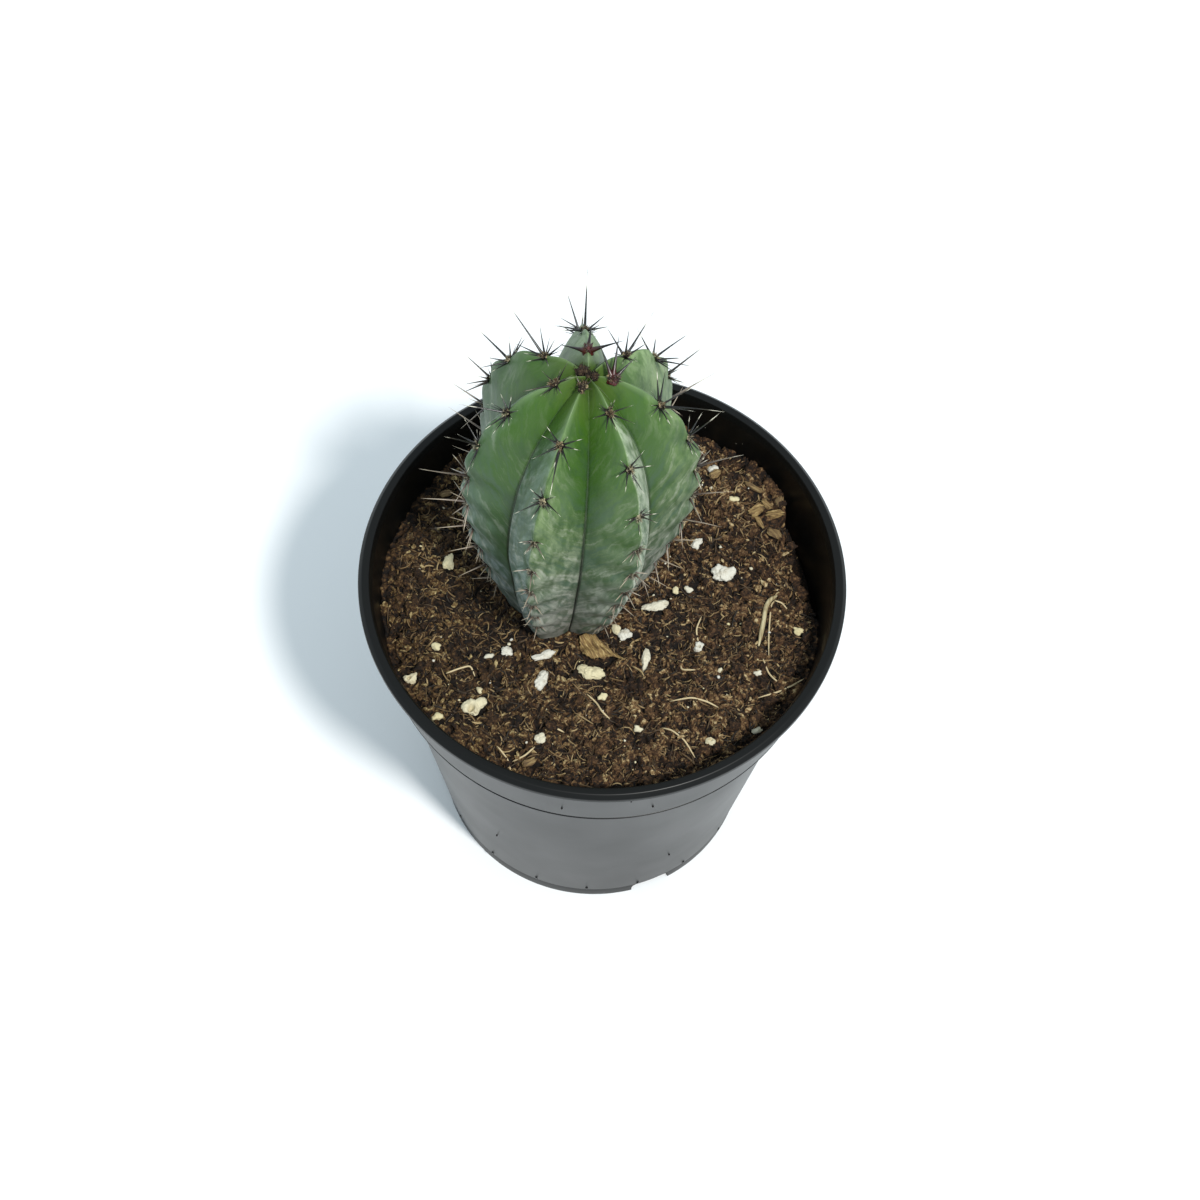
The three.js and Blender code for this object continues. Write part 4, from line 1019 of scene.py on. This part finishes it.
# The flake's two sides share the points of its rim, and each its middle point.
flake_points, kept, same = np.unique(np.round(flake_points, 4), axis=0, return_index=True,
                                     return_inverse=True)
flake_faces = [face for face in same.ravel()[np.array(flake_faces)] if len(set(face)) == 3]
flake = (flake_points, np.array(flake_faces))
flake_piece = mesh_piece("bark_flake_crumpled", *flake, split_bark,
                         values={"aged": [0] * len(kept), "along": np.array(flake_way)[kept],
                                 "beside": np.array(flake_fold)[kept]})
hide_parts("bark_flake")
chips = []
for number, (node, x, y, length, width, turn, dull) in enumerate(CHIPS):
    chip = split_chip(x, y, length, width, width * CHIP_THICKNESS, turn, 60 + number * 7)
    chips.append(chip)
    chip_piece = mesh_piece(f"{node}_split", *chip, split_bark, values=grain_values(chip, x, y, turn, dull))
    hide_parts(node)
    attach(chip_piece, "root")
small_chips, each = [], []
for x, y, length, width, turn, dull in SMALL_CHIPS:
    points, faces = split_chip(x, y, length, width, width * SMALL_CHIP_THICKNESS, turn, x)
    small_chips.append((points + [0, 0, 0.5], faces))
    each.append(grain_values(small_chips[-1], x, y, turn, dull))
values = {label: np.concatenate([chip[label] for chip in each]) for label in each[0]}
small_piece = mesh_piece("bark_chips_small", *joined(small_chips), split_bark, values=values)
bedded += [flake] + chips + small_chips
for piece in (flake_piece, small_piece):
    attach(piece, "root")

# The straw is one pale length of dry grass stalk that lies bent over the soil near the right edge.
# Its ends are broken off and taper a little.
STRAW = [(38.6, 4), (37, 2.4), (36.1, 0.4), (35.4, -4.9), (34.5, -10.4)]
STRAW_RADIUS = 0.52


def fibre(points, radius, sides, steps):
    """A tube through a few points, with tapered ends, smoothed by a curve through them."""
    points = np.array(points, float)
    spots = np.linspace(0, len(points) - 1, steps)
    middle = np.stack([np.interp(spots, range(len(points)), points[:, i]) for i in range(3)], axis=-1)
    for again in range(2):
        middle[1:-1] = (middle[:-2] + 2 * middle[1:-1] + middle[2:]) / 4
    way = np.gradient(middle, axis=0)
    way /= np.linalg.norm(way, axis=1)[:, None]
    beside = np.cross(way, [0, 0, 1])
    beside /= np.linalg.norm(beside, axis=1)[:, None] + 1e-9
    above = np.cross(beside, way)
    shares = np.linspace(0, 1, steps)
    girth = radius * (0.35 + 0.65 * np.minimum(1, 6 * np.minimum(shares, 1 - shares)))
    turn = np.arange(sides) * 2 * math.pi / sides
    rings = np.cos(turn)[None, :, None] * beside[:, None] + np.sin(turn)[None, :, None] * above[:, None]
    tube = (middle[:, None] + girth[:, None, None] * rings).reshape(-1, 3)
    faces = []
    for row in range(steps - 1):
        for j in range(sides):
            a, b = row * sides + j, row * sides + (j + 1) % sides
            faces += [(a, b + sides, b), (a, a + sides, b + sides)]
    last = (steps - 1) * sides
    for j in range(1, sides - 1):
        faces += [(0, j, j + 1), (last, last + j + 1, last + j)]
    return tube, faces


# Straw: dry and pale, faintly glossy, with lengthwise lines about 0.6 mm wide and 6 mm long, coarser
# than real ones, to show
dry_straw, tree, shader = new_material("dry_straw", Roughness=0.5)
place = add_node(tree, "TexCoord", output="Object")
lengthwise = add_node(tree, "VectorMath", {0: place, 1: (1800, 160, 1800)}, operation="MULTIPLY")
lines = add_node(tree, "TexNoise", {"Vector": lengthwise, "Scale": 1, "Detail": 3})
straw_tone = add_node(tree, "ValToRGB", {"Fac": lines},
                      stops=[(0.3, "#7b6a4a"), (0.5, "#b3a37c"), (0.7, "#cfc4a0")])
tree.links.new(straw_tone, shader.inputs["Base Color"])

stalk = [(x, y, soil_height(x, y) + 1) for x, y in STRAW]
straw_tube = fibre(stalk, STRAW_RADIUS, 10, 28)
bedded.append(straw_tube)
straw = mesh_piece("straw_stalk", *straw_tube, dry_straw)
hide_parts("straw")
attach(straw, "root")

# The potting soil is a damp mix of peat and coir. It fills the pot to 10 mm under the rim; its top is
# a mat of crumbs, with plain pockets under the grains. It is pressed flat in a few places, each with
# its size, and has sunk in a trench along the wall on the right.
PRESSED = [(-23.5, -10.5, 5), (14.5, -6.5, 6), (-29, -3, 4)]
CLEARANCE = 0.3
BED_CELLS = 250
WALL_GAP = 0.12
TRENCH_ANGLE = 17
TRENCH_HALF = 17
TRENCH_RADIUS = 43.4
TRENCH_DEPTH = 7
STEP_TOP = INNER_STEP + 0.3
BED_BOTTOM = FLOOR_TOP + 0.2


def dome(x, y, size, seed):
    """A net of rounded crumbs of about that size: how high it stands and each crumb's own tone."""
    distances, centres = noise.voronoi(Vector((x / size, y / size, seed)))
    own = math.sin(centres[0].x * 12.9898 + centres[0].y * 78.233 + seed) * 43758.5453
    return math.sqrt(max(0, 1 - (distances[0] / 0.8) ** 2)), own - math.floor(own)


def crumb_relief(x, y):
    """How far the crumbs stand over or under the soil's height, and their tone from 0 to 1,
    with painted shade where the crumbs lie low and in the trench by the wall.
    """
    clod, clod_tone = dome(x, y, 5, 1.7)
    large, large_tone = dome(x, y, 2.1, 3.1)
    small, small_tone = dome(x, y, 0.95, 8.7)
    rough = noise.fractal(Vector((x, y, 5)) / 0.7, 1, 2, 3)
    pressed = max(math.exp(-((x - at_x) ** 2 + (y - at_y) ** 2) / size ** 2)
                  for at_x, at_y, size in PRESSED)
    from_stem = math.hypot(x - STEM_FOOT[0], y - STEM_FOOT[1])
    calm = min(1, max(0.4, (from_stem - 14) / 5)) * (1 - 0.75 * pressed)
    relief = 0.9 * (clod - 0.75) + 1.1 * (clod_tone - 0.5) + 0.7 * (large - 0.7) + 0.9 * (large_tone - 0.5)
    relief += 0.45 * (small - 0.6) + 0.4 * (small_tone - 0.5) + 0.4 * rough
    turned = abs((math.degrees(math.atan2(y, x)) - TRENCH_ANGLE + 180) % 360 - 180)
    ragged = 1.2 * noise.noise(Vector((x, y, 0)) / 2.5) - 4 * (turned / TRENCH_HALF) ** 2
    trench_and_shade = min(1, max(0, (math.hypot(x, y) + ragged - TRENCH_RADIUS) / 1.5))
    # The tone takes painted shade: darker where the relief is low, in the crevices, and in the trench under
    # the wall. Pressed patches are darker too.
    tone = 0.1 + 0.3 * large_tone + 0.3 * small_tone + 0.25 * rough + 0.16 * relief
    tone = tone - 0.35 * pressed - 0.4 * trench_and_shade
    return relief * calm - TRENCH_DEPTH * trench_and_shade ** 2 * (3 - 2 * trench_and_shade), tone


obstacle_points = list(map(tuple, stem_vertices))
obstacle_faces = [tuple(face) for face in caps + quads]
for grain_points, grain_faces in bedded:
    first = len(obstacle_points)
    obstacle_points += list(map(tuple, grain_points))
    obstacle_faces += [tuple(int(i) + first for i in face) for face in grain_faces]
obstacles = BVHTree.FromPolygons(obstacle_points, obstacle_faces)


def underside(x, y):
    """The lowest height at which the stem or a grain lies over this point, or 1000 if none does."""
    hit = obstacles.ray_cast(Vector((x, y, 50)), Vector((0, 0, 1)))[0]
    return hit.z if hit else 1000


def edge_radius(z):
    """How far the soil reaches at a height: almost to the pot's wall."""
    return (collar_radius(z) if z > INNER_STEP else wall_radius(z)) - WALL - WALL_GAP


def kept_in_pot(points):
    """Points drawn in towards the middle where they would stand in the pot's wall."""
    limits = np.array([edge_radius(z) for z in points[:, 2]])
    drawn_in = np.minimum(1, limits / np.maximum(0.1, np.hypot(points[:, 0], points[:, 1])))
    return points * np.stack([drawn_in, drawn_in, np.ones(len(points))], axis=1)


# Damp peat and coir: dull dark brown, tan where fibre lies dry on the crumbs, with an olive cast on the
# left. Its low tones give the painted shade, near black, of the crevices and the trench. Its speckle is
# 0.8 mm, coarser than the peat's own, to show.
peat_and_coir, tree, shader = new_material("damp_peat_and_coir", Roughness=0.88, IOR=1.4)
place = add_node(tree, "TexCoord", output="Object")
tone = add_node(tree, "Attribute", attribute_name="tone", output="Fac")
speckle = add_node(tree, "TexNoise", {"Vector": place, "Scale": 1300, "Detail": 5, "Roughness": 0.75})
mixed_tone = add_node(tree, "Math", {0: speckle, 1: 1.9, 2: tone}, operation="MULTIPLY_ADD")
shifted = add_node(tree, "Math", {0: mixed_tone, 1: 0.99}, operation="SUBTRACT")
peat = add_node(tree, "ValToRGB", {"Fac": shifted},
                stops=[(0.1, "#0d0704"), (0.3, "#27180c"), (0.46, "#422c19"),
                       (0.62, "#62472d"), (0.8, "#8f7550"), (1, "#c8b58c")])
spot = add_node(tree, "SeparateXYZ", {0: place})
olive = add_node(tree, "MapRange",
                 {0: spot, "From Min": 10 * MM, "From Max": -25 * MM, "To Min": 0.05, "To Max": 0.4})
soil_tone = add_node(tree, "MixRGB", {"Fac": olive, "Color1": peat, "Color2": colour("#7d8250")},
                     blend_type="OVERLAY")
tree.links.new(soil_tone, shader.inputs["Base Color"])
crumbly = add_node(tree, "Bump", {"Height": speckle, "Strength": 0.9, "Distance": 0.3 * MM})
tree.links.new(crumbly, shader.inputs["Normal"])

bed_points, bed_tones = [], []
for row in range(BED_CELLS + 1):
    for column in range(BED_CELLS + 1):
        u, v = 2 * column / BED_CELLS - 1, 2 * row / BED_CELLS - 1
        reach = max(abs(u), abs(v))
        spread = reach / max(math.hypot(u, v), 1e-9) * edge_radius(SOIL_LEVEL)
        x, y = u * spread, v * spread
        relief, tone_here = crumb_relief(x, y)
        top = min(soil_height(x, y) + relief, underside(x, y) - CLEARANCE)
        fit = 1 + (edge_radius(top) / edge_radius(SOIL_LEVEL) - 1) * reach ** 6
        bed_points.append((x * fit, y * fit, top))
        bed_tones.append(tone_here)
side = BED_CELLS + 1
bed_faces = []
for row in range(BED_CELLS):
    for column in range(BED_CELLS):
        a = row * side + column
        bed_faces.append((a, a + 1, a + side + 1, a + side))
border = list(range(BED_CELLS))
border += [row * side + BED_CELLS for row in range(BED_CELLS)]
border += [BED_CELLS * side + column for column in range(BED_CELLS, 0, -1)]
border += [row * side for row in range(BED_CELLS, 0, -1)]
ring = border
for fitted_at, height in [(STEP_TOP, STEP_TOP), (INNER_STEP - 0.1, STEP_TOP), (BED_BOTTOM, BED_BOTTOM)]:
    radius = edge_radius(fitted_at)
    first = len(bed_points)
    for index in border:
        x, y = bed_points[index][:2]
        fit = radius / math.hypot(x, y)
        bed_points.append((x * fit, y * fit, height))
        bed_tones.append(0.3)
    lower = list(range(first, len(bed_points)))
    for j in range(len(border)):
        k = (j + 1) % len(border)
        bed_faces.append((ring[j], lower[j], lower[k], ring[k]))
    ring = lower
bed_points.append((0, 0, BED_BOTTOM))
bed_tones.append(0.3)
bed_faces += [(ring[k - 1], len(bed_points) - 1, ring[k]) for k in range(len(ring))]
bed = mesh_piece("soil_bed", kept_in_pot(np.array(bed_points)), bed_faces, peat_and_coir,
                 values={"tone": bed_tones})
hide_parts("potting_soil")
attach(bed, "root")

# Loose crumbs of the same mix lie all over the bed, broken and angular, from 0.7 mm grit to flakes of
# 2.6 mm. Each lies tilted, a little over the bed's own relief.
CRUMB_COUNT = 7000
CRUMB_REACH = 47.2
CRUMB_LIMIT = 47.6


def open_ground(x, y, need):
    """Whether nothing stands or lies over this point within the height it needs."""
    return underside(x, y) > soil_height(x, y) + need


def clear_round(x, y, reach, need):
    """Whether the ground is open at a point and at four others round it."""
    return all(open_ground(x + reach * i, y + reach * j, need)
               for i, j in [(0, 0), (1, 0), (-1, 0), (0, 1), (0, -1)])


draw = random.Random(17)
crumb_points, crumb_faces = icosphere(1)
crumbs, crumb_tones = [], []
while len(crumbs) < CRUMB_COUNT:
    around, out = draw.uniform(0, 2 * math.pi), CRUMB_REACH * math.sqrt(draw.random())
    x, y = out * math.cos(around), out * math.sin(around)
    length = 0.7 + 1.9 * draw.random() ** 2.2
    if out + length / 2 > CRUMB_LIMIT or not clear_round(x, y, length * 0.7, 1.5):
        continue
    broken = np.array([draw.uniform(0.62, 1.3) for point in crumb_points])
    thin = draw.uniform(0.22, 0.6)
    shaped = crumb_points * broken[:, None] * [length / 2, length / 2 * thin, length * 0.2]
    shaped[:, 2] += draw.uniform(-1.1, 0.5) * shaped[:, 0] ** 2 / length
    lean = Matrix.Rotation(draw.uniform(-0.7, 0.7), 3, "X")
    lean = lean @ Matrix.Rotation(draw.uniform(-0.5, 0.5), 3, "Y")
    spin = np.array(Matrix.Rotation(draw.uniform(0, 6.3), 3, "Z") @ lean)
    relief, bed_tone = crumb_relief(x, y)
    place_at = [x, y, soil_height(x, y) + relief + length * 0.12]
    crumbs.append((shaped @ spin.T + place_at, crumb_faces))
    # Each crumb takes part of the bed's tone, and with it the painted shade of the crevices and the trench
    crumb_tones += [0.1 + 0.3 * bed_tone + 0.65 * draw.random() ** 1.8] * len(crumb_points)
points, faces = joined(crumbs)
loose = mesh_piece("soil_crumbs", kept_in_pot(points), faces, peat_and_coir, smooth=False,
                   values={"tone": crumb_tones})
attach(loose, "root")

# Clods of damp peat stand among the crumbs, dark and lumpy, 1.5 to 3.8 mm across. A few overhang the
# edge where the soil has sunk, each with its place and width.
CLOD_COUNT = 300
CLOD_REACH = 46.5
EDGE_CLODS = [
    (31.8, 32.6, 3.6), (35.6, 29.2, 3.8), (38.4, 25.2, 3.2), (41.6, 16.6, 2.6), (41.4, 13.4, 2.6),
    (42.3, 9.4, 3.2), (44.3, 6.2, 3.2), (45.4, 2.2, 2.4), (45.3, -7, 2.6)]
clod_ball, clod_faces = icosphere(3)
clods, clod_tones = [], []
while len(clods) < CLOD_COUNT:
    around, out = draw.uniform(0, 2 * math.pi), CLOD_REACH * math.sqrt(draw.random())
    x, y, wide = out * math.cos(around), out * math.sin(around), 1.5 + 2 * draw.random() ** 1.5
    relief = crumb_relief(x, y)[0]
    if len(clods) < len(EDGE_CLODS):
        (x, y, wide), relief = EDGE_CLODS[len(clods)], 0
    elif not clear_round(x, y, wide * 0.6, 2.5):
        continue
    lumpy = np.array([0.9 + 0.9 * noise.fractal(Vector(p) * 1.2 + Vector((x, y, 0)), 1, 2, 3)
                      for p in clod_ball])
    spin = np.array(Matrix.Rotation(draw.uniform(0, 6.3), 3, "Z"))
    thick = wide * draw.uniform(0.3, 0.45)
    shaped = clod_ball * lumpy[:, None] * [wide / 2, thick, wide * 0.28] @ spin.T
    clods.append((shaped + [x, y, soil_height(x, y) + relief + 0.3], clod_faces))
    clod_tones += [draw.uniform(0.3, 0.6)] * len(clod_ball)
points, faces = joined(clods)
clod_piece = mesh_piece("soil_clods", kept_in_pot(points), faces, peat_and_coir,
                        values={"tone": clod_tones})
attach(clod_piece, "root")

# Specks of soil cling to the outside of the pot's wall, each at its plan angle and height, and pale
# perlite dust to the inside under the lip, where watering has left it.
OUTER_SPECKS = [(263.1, 80.1), (279.7, 87), (285.5, 80.5), (298.6, 23.9), (238.4, 28.5), (30, 60),
                (95, 82), (150, 40), (200, 66)]
INNER_SPECKS = 34
INNER_BAND = (86.5, 92.5)
outer_specks, inner_specks = [], []
for angle, z in OUTER_SPECKS:
    out = (collar_radius(z) if z > COLLAR_BOTTOM else wall_radius(z)) + 0.05
    turn = math.radians(angle)
    shaped = crumb_points * [0.24, 0.3, 0.22]
    outer_specks.append((shaped + [out * math.cos(turn), out * math.sin(turn), z], crumb_faces))
for index in range(INNER_SPECKS):
    turn, z = draw.uniform(0, 2 * math.pi), draw.uniform(*INNER_BAND)
    out = collar_radius(z) - WALL - 0.02
    shaped = crumb_points * [0.12, 0.12, draw.uniform(0.12, 0.4)]
    inner_specks.append((shaped + [out * math.cos(turn), out * math.sin(turn), z], crumb_faces))
outer = mesh_piece("wall_soil_specks", *joined(outer_specks), peat_and_coir,
                   values={"tone": [0.1] * len(OUTER_SPECKS) * len(crumb_points)})
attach(outer, "root")
inner = mesh_piece("wall_perlite_dust", *joined(inner_specks), popped_perlite,
                   values={"cream": [0.2] * INNER_SPECKS * len(crumb_points)})
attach(inner, "root")

# Coir fibres from the husk of coconuts, tan to dark brown and 1 to 5 mm long, are matted into the top
# of the soil. Thirteen longer ones lie over it, each given by a few points of its route.
FIBRE_COUNT = 6300
FIBRE_REACH = 46
FIBRE_LIMIT = 47
LONG_RADIUS = 0.2
LONG_TONE = 0.97
LONG_LIFT = 0.75
LONG_FIBRES = [
    [(15.7, -25.1), (20.3, -24.7), (23.7, -25.4), (26, -26.7)], [(17.6, -14.9), (17.9, -17.6), (20.9, -18)],
    [(14.3, -30.8), (16.4, -31.7), (19.1, -33.9), (21.5, -37.6)],
    [(34.6, -22.6), (38.8, -21), (41.8, -19.6), (44.4, -17.4)], [(35.5, -13.4), (36.8, -16.7), (39.5, -19.6)],
    [(38.4, 3.2), (37.3, 1.2), (37, -2.5), (36.7, -7.5), (36.7, -12.8)],
    [(38.1, 2.3), (39.7, 2.1), (40.8, 0.4)], [(-2.1, -23.4), (0.2, -25.5), (1.4, -27.9), (3.2, -29.4)],
    [(22, -3.5), (20.8, -7.5), (21.6, -10.6)], [(-20.2, -38), (-17.8, -40.5), (-16.9, -43.4)],
    [(-16.8, -40.7), (-14.2, -39.5), (-12.3, -37.2)], [(-10, -32.4), (-8.1, -33), (-6.3, -33.4)],
    [(-32.3, -21.4), (-29.8, -20.1), (-27.2, -19.3), (-26.1, -21.6)]]

# Coir: dry and tan where it lies on top, dark and damp where it is bedded
coir_fibre, tree, shader = new_material("coir_fibre", Roughness=0.6)
tone = add_node(tree, "Attribute", attribute_name="tone", output="Fac")
coir_tone = add_node(tree, "ValToRGB", {"Fac": tone},
                     stops=[(0.1, "#1f160d"), (0.4, "#4a3822"), (0.7, "#806642"),
                            (0.9, "#b29a6e"), (1, "#d2bf98")])
tree.links.new(coir_tone, shader.inputs["Base Color"])

fibres_made, fibre_tones = [], []
routes = [(route, LONG_RADIUS, LONG_TONE) for route in LONG_FIBRES]
while len(routes) < FIBRE_COUNT:
    around, out = draw.uniform(0, 2 * math.pi), FIBRE_REACH * math.sqrt(draw.random())
    x, y = out * math.cos(around), out * math.sin(around)
    length = 1 + 4.2 * draw.random() ** 3
    heading, bend = draw.uniform(0, 2 * math.pi), draw.uniform(-2.8, 2.8)
    route = []
    for step in range(4):
        route.append((x, y))
        x, y = x + math.cos(heading) * length / 3, y + math.sin(heading) * length / 3
        heading += bend / 3
    reach = max(math.hypot(*spot) for spot in route)
    if reach < FIBRE_LIMIT and all(open_ground(*spot, 2) for spot in route):
        routes.append((route, 0.07 + 0.17 * draw.random() ** 1.5, 0.88 * draw.random() ** 1.2))
for route, radius, tone_here in routes:
    long = tone_here == LONG_TONE
    lift = LONG_LIFT if long else draw.uniform(0.1, 0.5)
    points = []
    for x, y in route:
        points.append((x, y, min(soil_height(x, y) + crumb_relief(x, y)[0] + lift,
                                 underside(x, y) - CLEARANCE)))
    made = fibre(points, radius, 5, 4 * len(route)) if long else fibre(points, radius, 3, 5)
    fibres_made.append(made)
    fibre_tones += [tone_here] * len(made[0])
points, faces = joined(fibres_made)
coir = mesh_piece("soil_fibres", kept_in_pot(points), faces, coir_fibre, values={"tone": fibre_tones})
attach(coir, "root")
